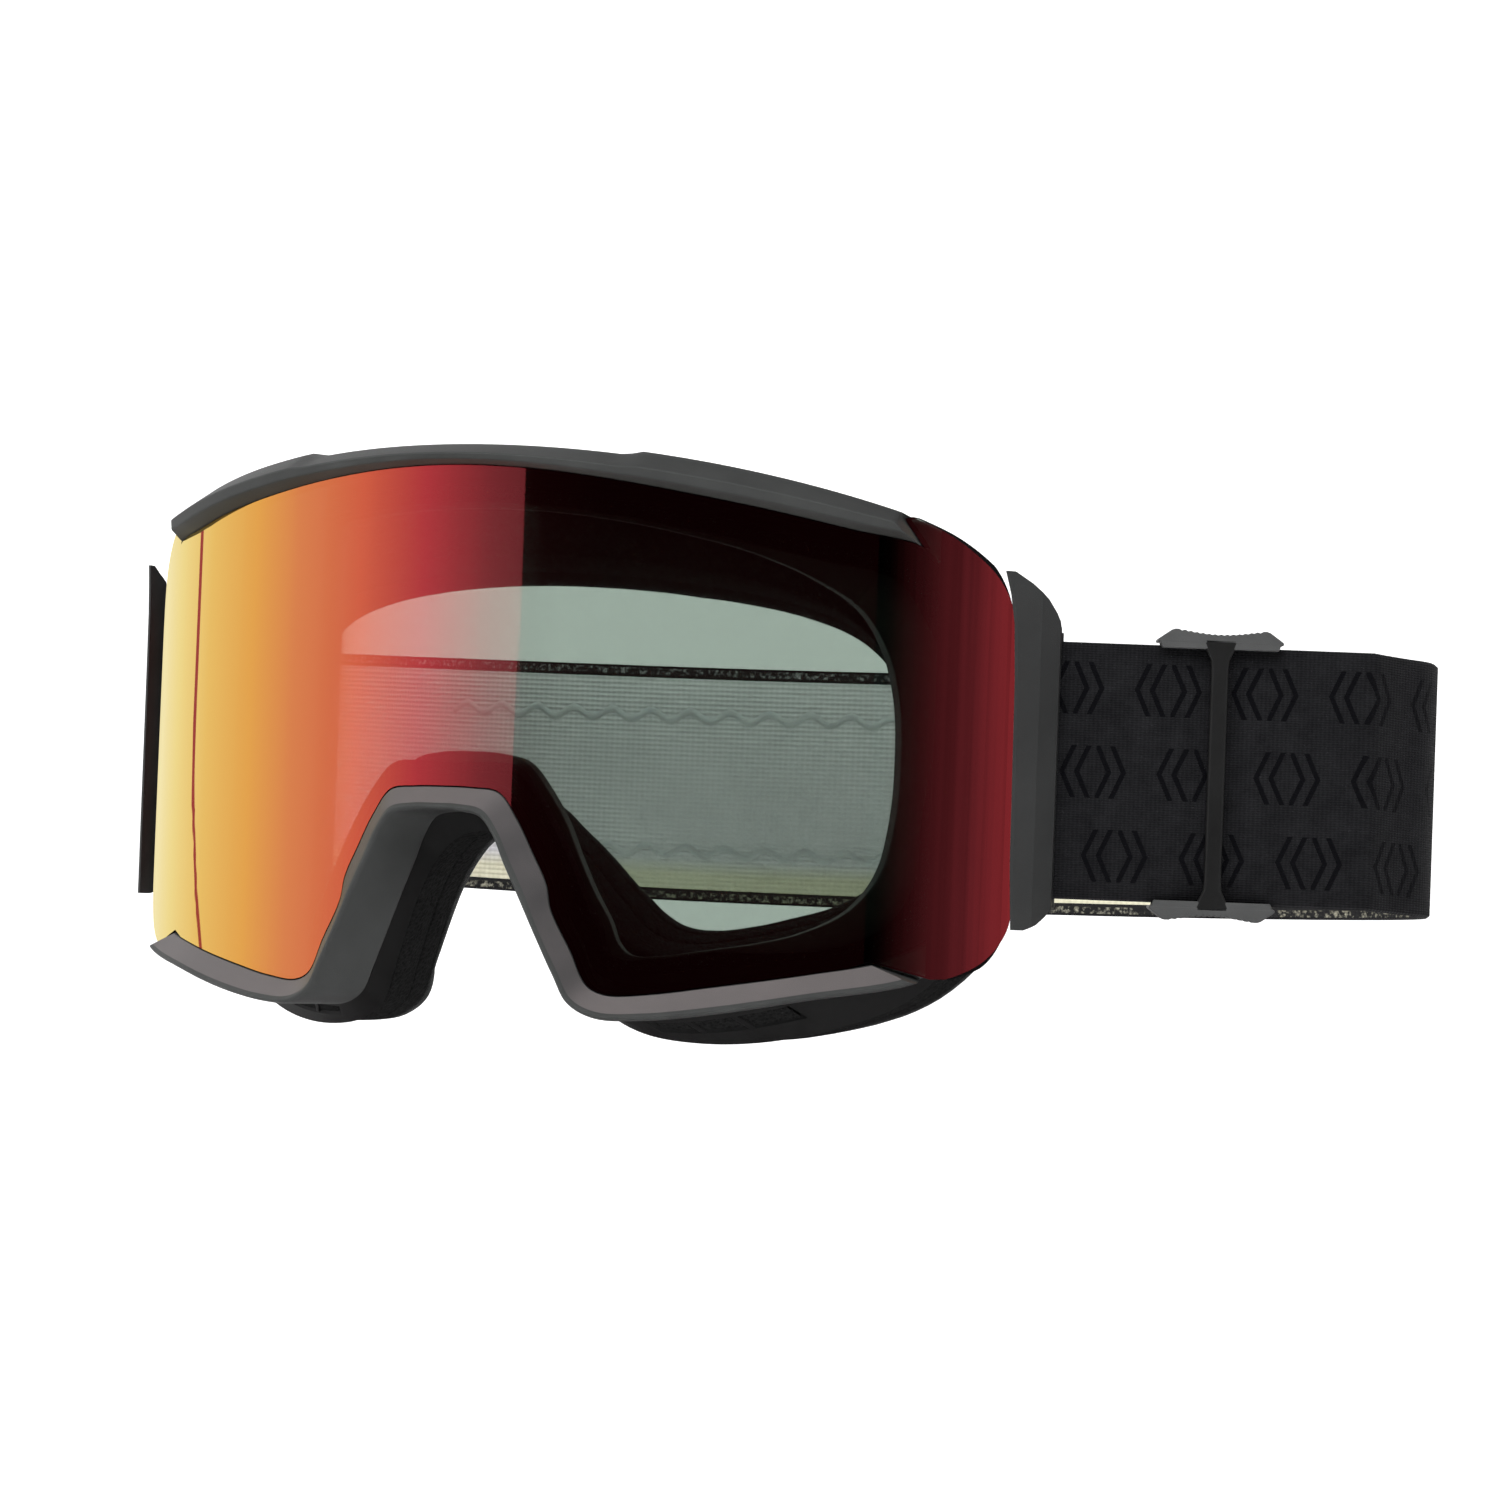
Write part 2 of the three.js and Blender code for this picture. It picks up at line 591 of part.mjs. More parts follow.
// How far forward the outer plate reaches at each height: [height, along].
const COVER_FRONT = [[-31, -6.6], [-20, -7.2], [12, -7.6], [22, -8.1], [27, -9.1], [31, -10.5]];
// The plate's rounded ends, from the front to the rear: [along, height].
const COVER_TOP = [[-8.6, 31], [-4.8, 29.2], [-0.8, 26.6], [1.4, 24.4], [3.2, 21.8]];
const COVER_BOTTOM = [[-4.2, -31], [-1.4, -30], [0.8, -28.6], [2.4, -27.2], [3.2, -26.4]];

function outrigger(side) {
  const place = (list) => {
    const points = list.map(([along, out]) => fromPin(along, out));
    return side > 0 ? points : mirrored(points).reverse();
  };
  // The outer plate, one plan per height: its front edge follows the lens's upper corner.
  const plans = COVER_FRONT.map(([z, front]) => place([
    [front, PLATE_OUT - 0.4], [front + 0.4, PLATE_OUT], [-2.6, PLATE_OUT + 0.5],
    [2.4, PLATE_OUT - 0.2], [3.6, PLATE_OUT - 1.2], [3.6, PLATE_OUT - 2],
    [1.8, PLATE_OUT - PLATE_THICK], [-3.4, PLATE_OUT - PLATE_THICK],
  ]).map(([x, y]) => new THREE.Vector3(x, y - FOAM_DEPTH, z)));
  let solid = toSolid(loft(plans, false));
  // Arms from the plate to the strap bar, at the top and the bottom.
  const arm = [
    [-2.4, PLATE_OUT - 2], [3.4, PLATE_OUT - 2], [BAR[0] + 0.3, BAR[1] + 1.2],
    [BAR[0] + 1, BAR[1] - 1], [BAR[0] - 1.6, BAR[1] - 1.4], [-1, BAR[1] + 1.4],
  ];
  const slot = STRAP_WIDTH / 2 + 0.6;
  for (const middle of [slot + ARM_THICK / 2, -slot - ARM_THICK / 2]) {
    const low = STRAP_MIDDLE + middle - ARM_THICK / 2;
    solid = solid.add(toSolid(prismAlongZ(place(arm), low, low + ARM_THICK)));
  }
  // The bar that the strap loops round.
  const bar = new THREE.CylinderGeometry(BAR_RADIUS, BAR_RADIUS, 2 * slot + ARM_THICK, 12);
  bar.rotateX(Math.PI / 2);
  const [bx, by] = fromPin(...BAR);
  bar.translate(side * bx, by - FOAM_DEPTH, STRAP_MIDDLE);
  solid = solid.add(toSolid(bar));
  // The knuckle on the pin, between the frame's lugs, and its web to the plate.
  const knuckle = new THREE.CylinderGeometry(2.5, 2.5, 2 * LUG_HEIGHTS[0][0] - 0.6, 16);
  knuckle.rotateX(Math.PI / 2);
  knuckle.translate(side * PIN.x, PIN.y - FOAM_DEPTH, 0);
  solid = solid.add(toSolid(knuckle));
  const reach = LUG_HEIGHTS[0][0] - 0.3;
  const web = [[-1.6, 0], [-3.4, PLATE_OUT - 2], [-0.4, PLATE_OUT - 2], [1.2, 0]];
  solid = solid.add(toSolid(prismAlongZ(place(web), -reach, reach)));
  solid = solid.subtract(pinBore(side, PIN_RADIUS + 0.05));
  for (const profile of [COVER_TOP, COVER_BOTTOM]) {
    solid = solid.subtract(cornerCut(side, profile));
  }
  return toGeometry(solid);
}

// What is taken off one end of the plate, beyond its rounded profile.
function cornerCut(side, profile) {
  const beyond = Math.sign(profile[0][1]) * 40;
  const end = profile.at(-1);
  const outline = [...profile, [end[0] + 1.2, end[1]], [end[0] + 1.2, beyond], [profile[0][0], beyond]];
  const rings = [PLATE_OUT + 3, 5.6].map((out) => outline.map(([along, z]) => {
    const [x, y] = fromPin(along, out);
    return new THREE.Vector3(side * x, y - FOAM_DEPTH, z);
  }));
  return toSolid(loftConcave(rings));
}

function hingePin(side) {
  const pin = new THREE.CylinderGeometry(PIN_RADIUS, PIN_RADIUS, PIN_LENGTH - 4, 16);
  pin.rotateX(Math.PI / 2);
  pin.translate(side * PIN.x, PIN.y - FOAM_DEPTH, 0);
  return pin;
}

// ---------------------------------------------------------------- strap
const STRAP_AIM_RIGHT = new THREE.Vector2(0.9, 0.436); // way the straight stretches run, in plan
const STRAP_AIM_LEFT = new THREE.Vector2(-0.25, 0.968);

function barCentre(side) {
  const [x, y] = fromPin(...BAR);
  return new THREE.Vector2(side * x, y);
}

function strapAim(side) {
  return side > 0 ? STRAP_AIM_RIGHT : STRAP_AIM_LEFT;
}

// A place on a straight stretch, from its bar: along it, and across it away from the head.
function onStretch(side, along, out, z) {
  const aim = strapAim(side);
  const across = new THREE.Vector2(aim.y, -aim.x).multiplyScalar(side);
  const p = barCentre(side).addScaledVector(aim, along).addScaledVector(across, out);
  return new THREE.Vector3(p.x, p.y - FOAM_DEPTH, STRAP_MIDDLE + z);
}

const LOOP_INNER = BAR_RADIUS + 0.4; // radius of the strap's inside round the bar
const STRAP_OUT = LOOP_INNER + STRAP_THICK / 2; // the strap's middle line, out from the bar
const RETURN_LENGTH = 14; // the strap's sewn end, back along the inside

// The strap's end: sewn return, turn round the bar, and the straight stretch.
function strapFront(side) {
  const length = side > 0 ? STRAIGHT_RIGHT : STRAIGHT_LEFT;
  const half = STRAP_WIDTH / 2;
  const path = [[length, 1], [0, 1]];
  for (let i = 1; i < 10; i += 1) {
    const angle = (i / 10) * Math.PI;
    path.push([-Math.sin(angle), Math.cos(angle), 'turn']);
  }
  path.push([0, -1], [RETURN_LENGTH, -1]);
  const rings = path.map(([a, b, turn]) => {
    const radii = [LOOP_INNER, LOOP_INNER + STRAP_THICK];
    const [inner, outer] = radii.map((r) => (turn ? [a * r, b * r] : [a, b * r]));
    return [
      onStretch(side, ...inner, -half),
      onStretch(side, ...outer, -half),
      onStretch(side, ...outer, half),
      onStretch(side, ...inner, half),
    ];
  });
  return loft(rings, false);
}

// The middle line of the loop between the two straight stretches, in plan.
function rearPath() {
  const start = onStretch(1, STRAIGHT_RIGHT + 1.5, STRAP_OUT, 0);
  const end = onStretch(-1, STRAIGHT_LEFT + 1.5, STRAP_OUT, 0);
  const trail = onStretch(-1, STRAIGHT_LEFT + 8, STRAP_OUT, 0);
  const middle = [
    [144.6, 84.6], [147.2, 91], [144.5, 101], [134, 111], [116, 117.5], [96, 118.5],
    [72, 115.5], [20, 104], [-38, 97], [-76, 103.5], [-97, 113],
  ].map(([x, y]) => new THREE.Vector3(x, y - FOAM_DEPTH, 0));
  const points = [start, ...middle, trail, end];
  return new THREE.CatmullRomCurve3(points, false, 'centripetal');
}

function droop(share) {
  return -STRAP_DROOP * Math.sin(Math.PI * share) ** 0.8;
}

// A strip that follows the loop: across is measured towards the inside of the loop.
function alongRear(from, to, steps, across, thick, low, high) {
  const curve = rearPath();
  const rings = [];
  for (let i = 0; i <= steps; i += 1) {
    const share = from + ((to - from) * i) / steps;
    const p = curve.getPointAt(share);
    const t = curve.getTangentAt(share);
    const inward = new THREE.Vector3(-t.y, t.x, 0).normalize();
    const [near, far] = [across - thick / 2, across + thick / 2];
    const sag = droop(share);
    rings.push([[near, low], [far, low], [far, high], [near, high]].map(([a, z]) => {
      const q = p.clone().addScaledVector(inward, a);
      q.z = STRAP_MIDDLE + z + sag;
      return q;
    }));
  }
  return loft(rings, false);
}

function strapRear() {
  return alongRear(0, 1, 44, 0, STRAP_THICK, -STRAP_WIDTH / 2, STRAP_WIDTH / 2);
}

function gripStrip(z) {
  const across = STRAP_THICK / 2 + GAP + 0.3;
  return alongRear(0.22, 0.78, 24, across, 0.6, z - 1.5, z + 1.5);
}

// ---------------------------------------------------------------- sliders
// End plates above and below the strap, a bar in front of the strap and two behind it.
function slider(side) {
  const half = STRAP_WIDTH / 2;
  const reach = SLIDER_LENGTH / 2;
  const block = (alongFrom, alongTo, outFrom, outTo, low, high) => {
    const rings = [alongFrom, alongTo].map((along) => [
      onStretch(side, SLIDER_FROM_BAR + along, STRAP_OUT + outFrom, low),
      onStretch(side, SLIDER_FROM_BAR + along, STRAP_OUT + outTo, low),
      onStretch(side, SLIDER_FROM_BAR + along, STRAP_OUT + outTo, high),
      onStretch(side, SLIDER_FROM_BAR + along, STRAP_OUT + outFrom, high),
    ]);
    return toSolid(loft(rings, false));
  };
  let solid = block(-1.5, 1.5, 1.3, 2.9, -half - 1, half + 1);
  for (const along of [-8, 8]) {
    solid = solid.add(block(along - 1.5, along + 1.5, -2.7, -1.3, -half - 1, half + 1));
  }
  for (const sign of [1, -1]) {
    solid = solid.add(thumbPlate(side, sign, reach, half));
  }
  return toGeometry(solid);
}

// One end plate: its free edge dips in the middle, where the thumb pulls.
function thumbPlate(side, sign, reach, half) {
  const top = reach - 2.8;
  const edge = [[-reach, 0.5], [-reach, 1.1], [-top, 3.3]];
  for (let i = 1; i < 6; i += 1) {
    const share = i / 6;
    edge.push([-top + 2 * top * share, 3.3 - 0.7 * Math.sin(Math.PI * share)]);
  }
  edge.push([top, 3.3], [reach, 1.1], [reach, 0.5]);
  const rings = [-2.7, 2.9].map((out) => edge.map(([along, up]) => {
    const z = sign * (half + up);
    return onStretch(side, SLIDER_FROM_BAR + along, STRAP_OUT + out, z);
  }));
  return toSolid(loftConcave(rings));
}

// Two equal outlines joined by walls, where the outline may be concave.
function loftConcave([first, second]) {
  const count = first.length;
  const flat = first.map((p) => new THREE.Vector2(Math.hypot(p.x - first[0].x, p.y - first[0].y), p.z));
  const caps = THREE.ShapeUtils.triangulateShape(flat, []);
  const positions = [...first, ...second].flatMap((p) => [p.x, p.y, p.z]);
  const clockwise = THREE.ShapeUtils.isClockWise(flat);
  const triangles = [];
  for (const cap of caps) {
    const same = THREE.ShapeUtils.isClockWise(cap.map((i) => flat[i])) === clockwise;
    const [a, b, c] = same ? cap : cap.slice().reverse();
    triangles.push(c, b, a, a + count, b + count, c + count);
  }
  for (let j = 0; j < count; j += 1) {
    const k = (j + 1) % count;
    triangles.push(j, k, k + count, j, k + count, j + count);
  }
  return indexed(positions, triangles);
}

// ---------------------------------------------------------------- the whole object
addPart('lens_outer', outerLens(), 'lens');
addPart('lens_carrier', lensCarrier(), 'dark');
addPart('lens_gasket', gasket(), 'foam');
addPart('lens_inner', innerPane(), 'pane');
MAGNET_STATIONS.forEach((place, i) => {
  addPart(`lens_magnet_${i + 1}`, magnet(place, 0, LENS_MAGNET_BACK, LENS_MAGNET_BACK + 2), 'magnet');
  addPart(`frame_magnet_${i + 1}`, magnet(place, 0, FRAME_MAGNET_BACK, PLATE_FRONT - 0.2), 'magnet');
});
addPart('frame', frame(), 'frame');
addPart('face_flange', flange(), 'dark');
['vent_filter_top', 'vent_filter_right', 'vent_filter_left'].forEach((name, i) => {
  addPart(name, ventBlock(VENTS[i][0] + 0.06, VENTS[i][1] - 0.06, -3, 0.3), 'foam');
});
['foam_base', 'foam_middle', 'foam_face'].forEach((name, i) => {
  addPart(name, foamLayer(i), i < 2 ? 'foam' : 'fleece');
});
for (const [word, side] of [['right', 1], ['left', -1]]) {
  addPart(`outrigger_${word}`, outrigger(side), 'frame');
  addPart(`hinge_pin_${word}`, hingePin(side), 'steel');
  addPart(`strap_end_${word}`, strapFront(side), 'strap');
  addPart(`slider_${word}`, slider(side), 'frame');
}
addPart('strap_rear', strapRear(), 'strap');
addPart('grip_strip_upper', gripStrip(13), 'silicone');
addPart('grip_strip_lower', gripStrip(-13), 'silicone');

export default goggles;
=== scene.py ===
"""Ski goggles: detailed pieces, materials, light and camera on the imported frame.

Lengths are in millimetres until a mesh is made, in the row frame: +Z up, -Y the way the wearer
looks, +X the wearer's left. The origin is in the middle of the back of the face foam.
"""
import math
import bmesh
import bpy
import numpy as np
from mathutils import Matrix, Vector


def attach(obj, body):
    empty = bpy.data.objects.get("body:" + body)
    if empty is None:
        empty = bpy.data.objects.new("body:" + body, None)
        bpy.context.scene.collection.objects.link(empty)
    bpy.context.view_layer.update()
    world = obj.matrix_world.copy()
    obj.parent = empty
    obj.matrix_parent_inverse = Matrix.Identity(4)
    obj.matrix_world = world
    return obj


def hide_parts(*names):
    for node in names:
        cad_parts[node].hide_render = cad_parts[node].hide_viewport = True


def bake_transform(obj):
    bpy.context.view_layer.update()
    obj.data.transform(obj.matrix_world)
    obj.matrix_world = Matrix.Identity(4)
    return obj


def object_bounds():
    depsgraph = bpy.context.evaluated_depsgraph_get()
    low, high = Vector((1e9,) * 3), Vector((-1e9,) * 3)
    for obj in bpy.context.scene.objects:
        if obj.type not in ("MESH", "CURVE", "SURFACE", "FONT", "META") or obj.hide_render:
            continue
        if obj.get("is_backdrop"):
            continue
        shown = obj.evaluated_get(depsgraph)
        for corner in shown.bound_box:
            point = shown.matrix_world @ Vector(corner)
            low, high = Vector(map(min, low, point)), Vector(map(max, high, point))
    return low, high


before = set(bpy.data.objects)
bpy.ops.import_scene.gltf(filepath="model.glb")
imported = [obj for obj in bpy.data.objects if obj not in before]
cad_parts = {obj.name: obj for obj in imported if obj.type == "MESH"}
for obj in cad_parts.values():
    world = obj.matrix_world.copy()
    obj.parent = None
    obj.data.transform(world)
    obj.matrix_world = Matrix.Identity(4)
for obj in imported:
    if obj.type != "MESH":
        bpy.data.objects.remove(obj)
cad_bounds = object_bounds()
MM = 0.001

# ---- driving dimensions
# Depths count forwards from the lens's outer face, so what lies behind it is negative.
LENS_RADIUS = 108.9
FOAM_DEPTH = 38  # from the lens's front to the foam's back
FACE_RADIUS = 100
NOSE_RELIEF = 6  # how much further forward the foam's back lies beside the nose
LENS_THICK = 2
EDGE_CLEARANCE = 0.2
TAPER_FROM = 84  # from here outwards the lens's back draws in
TAPER = 0.28
CORNER_REACH = 0.72  # share of the brow's end line that the lens's blunt corner reaches
BORDER_FROM = 77.5  # beyond this the lens's back is painted
FRAME_FRONT = -2.4
PLATE_FRONT = -8.4
GASKET_BACK = -6.3
PANE_FRONT = -6.6
PANE_BACK = -7.8
FRAME_BACK = -12
GAP = 0.3
FOAM_LAYERS = [8, 5, 2.4]
FLANGE_WALL = 2.2
FOAM_FLARE = 0.26
FOAM_TOTAL = sum(FOAM_LAYERS) + 2 * GAP
STRAP_WIDTH = 45
STRAP_THICK = 1.6
STRAP_MIDDLE = -2.8
STRAP_DROOP = 3.5
SPLAY = math.radians(26.2)
PIN = (84.6, 14.2)
BAR = (5.8, 3.8)  # the strap's bar from the hinge pin, along the splayed arm and across it
STRAP_OUT = 2.6
RETURN_LENGTH = 14
STRAIGHT = {1: 54, -1: 45}  # length of the strap's straight stretch on each side
STRAP_AIM = {1: (0.9, 0.436), -1: (-0.25, 0.968)}
SLIDER_FROM_BAR = 28.5
BAR_HALF = 1.5
WORD = {1: "right", -1: "left"}

# Stations of the outline on one side, from the top of the brow to the top of the nose: frame
# outside, lens stack edge, opening, foam outside, foam inside, each as (x, z).
STATIONS = [
    [(0, 49), (0, 46.2), (0, 39.2), (0, 46.5), (0, 26.8)],
    [(14, 48.7), (14, 45.6), (14, 38.8), (14, 46.2), (13, 26.5)],
    [(28, 47.7), (28, 44), (28, 37.4), (27, 45.2), (25, 25.7)],
    [(41, 46.3), (41, 41.9), (40, 35.4), (40, 43.4), (36, 24.4)],
    [(54, 44), (54, 39.5), (52, 32.6), (52, 40.6), (46, 22.3)],
    [(66, 40.7), (66, 36.8), (62, 28.6), (62.5, 36.4), (54, 19)],
    [(78.4, 37.9), (76.4, 34.2), (69.5, 23.5), (70.5, 30.6), (59, 13.5)],
    [(84.4, 31.8), (80.8, 28.2), (73.5, 16.5), (75.5, 23.6), (61, 7.5)],
    [(87.4, 21.4), (83.8, 19.8), (75.5, 8), (78.2, 14.8), (61.8, 2)],
    [(87.7, 6), (84.4, 6), (76, -2), (79.4, 4), (62, -4.5)],
    [(87.7, -12), (84.4, -12), (75.5, -13), (79.3, -10), (61.6, -11)],
    [(87.3, -26.8), (83.6, -25), (73.5, -22.5), (78, -24), (60.2, -18)],
    [(84, -36), (80, -32.8), (69, -29), (75, -35), (56.6, -24.5)],
    [(76, -41), (73.2, -37), (62, -33), (68, -44.4), (51, -28.2)],
    [(62, -44.3), (62, -39.9), (55, -35), (59, -49.2), (45, -30.2)],
    [(48, -47.3), (47, -42.8), (46, -36.6), (48.5, -52.2), (39, -31.9)],
    [(37, -48.8), (38, -44.3), (38.5, -37.8), (38, -53), (33, -33)],
    [(29.5, -48.7), (31, -44.7), (33.5, -37.8), (28.5, -51.6), (28.5, -32.6)],
    [(25, -46.4), (27.7, -43.2), (31.2, -35.8), (22.6, -48), (25, -30.5)],
    [(22.4, -41.8), (24.7, -37.4), (29.6, -32.2), (20.2, -42.4), (22.5, -28)],
    [(19, -35), (21, -30.4), (26.2, -26.6), (17.4, -35.4), (19.6, -25)],
    [(15.7, -28.3), (20.1, -26.2), (23.3, -21), (14.4, -28.7), (16.8, -21.8)],
    [(12.9, -22.7), (17.4, -20.8), (20.6, -15.4), (11.6, -24), (13.7, -18.6)],
    [(10.8, -18.1), (14.3, -15.1), (16.6, -9.6), (8.6, -20.6), (10.2, -15.6)],
    [(8.2, -15), (10.8, -10.7), (12, -5), (5.6, -18.4), (6.6, -12.8)],
    [(4.2, -14.1), (5.8, -10), (6, -3.6), (2.8, -17.4), (3.3, -11.4)],
    [(0, -14), (0, -9.9), (0, -3.4), (0, -17.2), (0, -11)],
]
HALF = len(STATIONS) - 1
# The lens's free outline beyond the brow and the lower bezel, from top to bottom (x, z).
LENS_SIDE = [
    (71.5, 40.7), (75.8, 38.7), (79.2, 36.7), (82.4, 33.9), (85.3, 30.2), (87.2, 25.5),
    (88.2, 19), (88.4, 10), (88.4, -26), (88.1, -30.5), (87.0, -33.8),
    (85.2, -36.7), (82.4, -39), (78, -40.9),
]
# The end lines of the brow and of the lower bezel (x, z).
BROW_END = [(71.8, 44), (71.9, 40.9), (75.6, 34.4), (75.6, 30)]
BEZEL_END = [(70.2, -30), (70.2, -37.6), (78.4, -40.9), (78.8, -45)]
# Front sections: [share of the way from the stack edge to the outside, depth before the lens].
BROW_SECTION = [(0, 0.6), (0.17, 3.3), (0.45, 4), (0.9, 0.2), (1, -1.6)]
SIDE_SECTION = [*((t, FRAME_FRONT) for t in (0, 0.1, 0.5, 0.9)), (1, FRAME_FRONT - 0.4)]
BEZEL_SECTION = [(0, 0.05), (0.7, 2.7), (0.84, 3.2), (0.95, 2.7), (1, 1.6)]
LEDGE_STRIP = 2  # which strip of faces along the bezel is its sloping ledge


# ---- curves and surfaces
def smoothstep(x, low, high):
    t = min(max((x - low) / (high - low), 0), 1)
    return t * t * (3 - 2 * t)


def catmull(points, closed):
    """A centripetal Catmull-Rom curve through points, with point i at parameter i."""
    points = [Vector(p) for p in points]
    if closed:
        row = [points[-1], *points, points[0], points[1]]
    else:
        row = [2 * points[0] - points[1], *points, 2 * points[-1] - points[-2]]
    spans = len(row) - 3

    def curve(s):
        i = math.floor(s) if closed else min(max(math.floor(s), 0), spans - 1)
        w = s - i
        a, b, c, d = row[i % spans:i % spans + 4]
        ab, bc, cd = [max((q - p).length, 1e-6) ** 0.5 for p, q in ((a, b), (b, c), (c, d))]
        m1 = ((b - a) / ab - (c - a) / (ab + bc) + (c - b) / bc) * bc
        m2 = ((c - b) / bc - (d - b) / (bc + cd) + (d - c) / cd) * bc
        w2, w3 = w * w, w * w * w
        near = b * (2 * w3 - 3 * w2 + 1) + m1 * (w3 - 2 * w2 + w)
        return near + c * (3 * w2 - 2 * w3) + m2 * (w3 - w2)

    return curve


def outline(column):
    right = [row[column] for row in STATIONS]
    left = [(-x, z) for x, z in reversed(right[1:HALF])]
    return catmull(right + left, True)


frame_edge, stack_edge, opening_edge, foam_outside, foam_inside = [outline(i) for i in range(5)]


def on_lens(x, z, depth):
    """The point at front-view place (x, z), a depth in front of the lens's outer face."""
    angle = math.asin(x / LENS_RADIUS)
    r = LENS_RADIUS + depth
    return Vector((r * math.sin(angle), LENS_RADIUS - r * math.cos(angle) - FOAM_DEPTH, z))


def straight_back(x, z, depth):
    """The point at true place (x, z) on the surface at that depth."""
    r = LENS_RADIUS + depth
    return Vector((x, LENS_RADIUS - math.sqrt(r * r - x * x) - FOAM_DEPTH, z))


def face_depth(x, z):
    curve = FACE_RADIUS - math.sqrt(FACE_RADIUS ** 2 - x * x)
    return curve - NOSE_RELIEF * math.exp(-((x / 26) ** 2)) * smoothstep(-z, 2, 20)


def on_face(x, z, forward):
    return Vector((x, face_depth(x, z) - forward, z))


def inset(start, towards, distance):
    """The outline that lies a distance from one outline towards another."""
    def curve(s):
        a, b = start(s), towards(s)
        return a + (b - a) * (distance / (b - a).length)
    return curve


def stations_from_top(s):
    return min(s % (2 * HALF), 2 * HALF - s % (2 * HALF))


def frame_inset(distance):
    return inset(frame_edge, opening_edge, distance)


def foam_inset(distance):
    return inset(foam_outside, foam_inside, distance)


def stack_inset(distance):
    """An outline inside the stack's edge, further off the walls beside the nose."""
    def curve(s):
        from_top = stations_from_top(s)
        nose = smoothstep(from_top, 15.5, 17.5)
        lean = abs(stack_edge(s)[0]) / LENS_RADIUS * -PLATE_FRONT
        return inset(stack_edge, opening_edge, distance + nose * (lean - 0.3 * distance))(s)
    return curve


def outer_edge(s):
    """The frame's outside, which rises to the brow's top over the lens."""
    from_top = stations_from_top(s)
    x, z = frame_edge(s)
    share = 1 - smoothstep(from_top, 5.6, 6.4)
    u = LENS_RADIUS * math.asin(abs(x) / LENS_RADIUS)
    top = 49.8 - 0.00162 * u * u + 0.9 * smoothstep(u, 31, 34)
    return Vector((x, z + share * (top - z)))


def spread(first, last, count):
    return [first + (last - first) * i / count for i in range(count + 1)]


def loop_stations(steps):
    return spread(0, 2 * HALF, 2 * HALF * steps)[:-1]


# ---- mesh making
def add_object(name, data):
    """A new object, in the scene."""
    obj = bpy.data.objects.new(name, data)
    bpy.context.scene.collection.objects.link(obj)
    return obj


def add_mesh(name, vertices, faces, uv=None, sharp=38):
    """A smooth-shaded object from millimetre points, with edges sharp above an angle."""
    mesh = bpy.data.meshes.new(name)
    mesh.from_pydata([tuple(c * MM for c in v) for v in vertices], [], faces)
    if uv:
        layer = mesh.uv_layers.new(name="length_width")
        for loop in mesh.loops:
            layer.data[loop.index].uv = [c * MM for c in uv[loop.vertex_index]]
    tidy = bmesh.new()
    tidy.from_mesh(mesh)
    bmesh.ops.recalc_face_normals(tidy, faces=tidy.faces)
    tidy.to_mesh(mesh)
    tidy.free()
    mesh.polygons.foreach_set("use_smooth", [True] * len(mesh.polygons))
    mesh.set_sharp_from_angle(angle=math.radians(sharp))
    return add_object(name, mesh)


def loft_faces(rows, count, closed, start):
    faces = []
    for i in range(rows if closed else rows - 1):
        for j in range(count):
            k = (j + 1) % count
            a, b = start + i * count, start + (i + 1) % rows * count
            faces.append((a + j, a + k, b + k, b + j))
    if not closed:
        faces.append(tuple(start + j for j in range(count)))
        faces.append(tuple(start + (rows - 1) * count + j for j in reversed(range(count))))
    return faces


def loft(name, *groups, closed=False, uv=None, sharp=38):
    """One object of one or more rows of equal rings of points."""
    vertices, faces = [], []
    for rings in groups:
        faces += loft_faces(len(rings), len(rings[0]), closed, len(vertices))
        vertices += [p for ring in rings for p in ring]
    return add_mesh(name, vertices, faces, uv, sharp)


def rounded(points, radius, steps=3):
    """A closed polygon with each corner turned into a short curve."""
    result = []
    for i, corner in enumerate(points):
        before, after = points[i - 1], points[(i + 1) % len(points)]
        to_before, to_after = before - corner, after - corner
        near = corner + to_before * min(0.45, radius / max(to_before.length, 1e-6))
        far = corner + to_after * min(0.45, radius / max(to_after.length, 1e-6))
        for k in range(steps + 1):
            t = k / steps
            result.append(near * (1 - t) ** 2 + corner * (2 * t * (1 - t)) + far * t * t)
    return result


def bevel(obj, width, segments=2, angle=40):
    modifier = obj.modifiers.new("edges", "BEVEL")
    modifier.width = width * MM
    modifier.segments = segments
    modifier.limit_method = "ANGLE"
    modifier.angle_limit = math.radians(angle)
    modifier.harden_normals = True
    return obj


def cut(obj, cutters):
    """Takes the cutters out of an object, bakes its mesh and deletes the cutters."""
    for cutter in cutters:
        modifier = obj.modifiers.new("cut", "BOOLEAN")
        modifier.operation = "DIFFERENCE"
        modifier.object = cutter
        modifier.solver = "EXACT"
    bpy.context.view_layer.update()
    graph = bpy.context.evaluated_depsgraph_get()
    mesh = bpy.data.meshes.new_from_object(obj.evaluated_get(graph))
    obj.modifiers.clear()
    obj.data = mesh
    for cutter in cutters:
        bpy.data.objects.remove(cutter)


def place(obj, body, materials, slot, nodes=()):
    """Gives a piece its materials, its body and the CAD nodes that it stands for."""
    for material in materials:
        obj.data.materials.append(material)
    if body:
        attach(obj, body)
    if nodes:
        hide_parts(*nodes)
    return obj


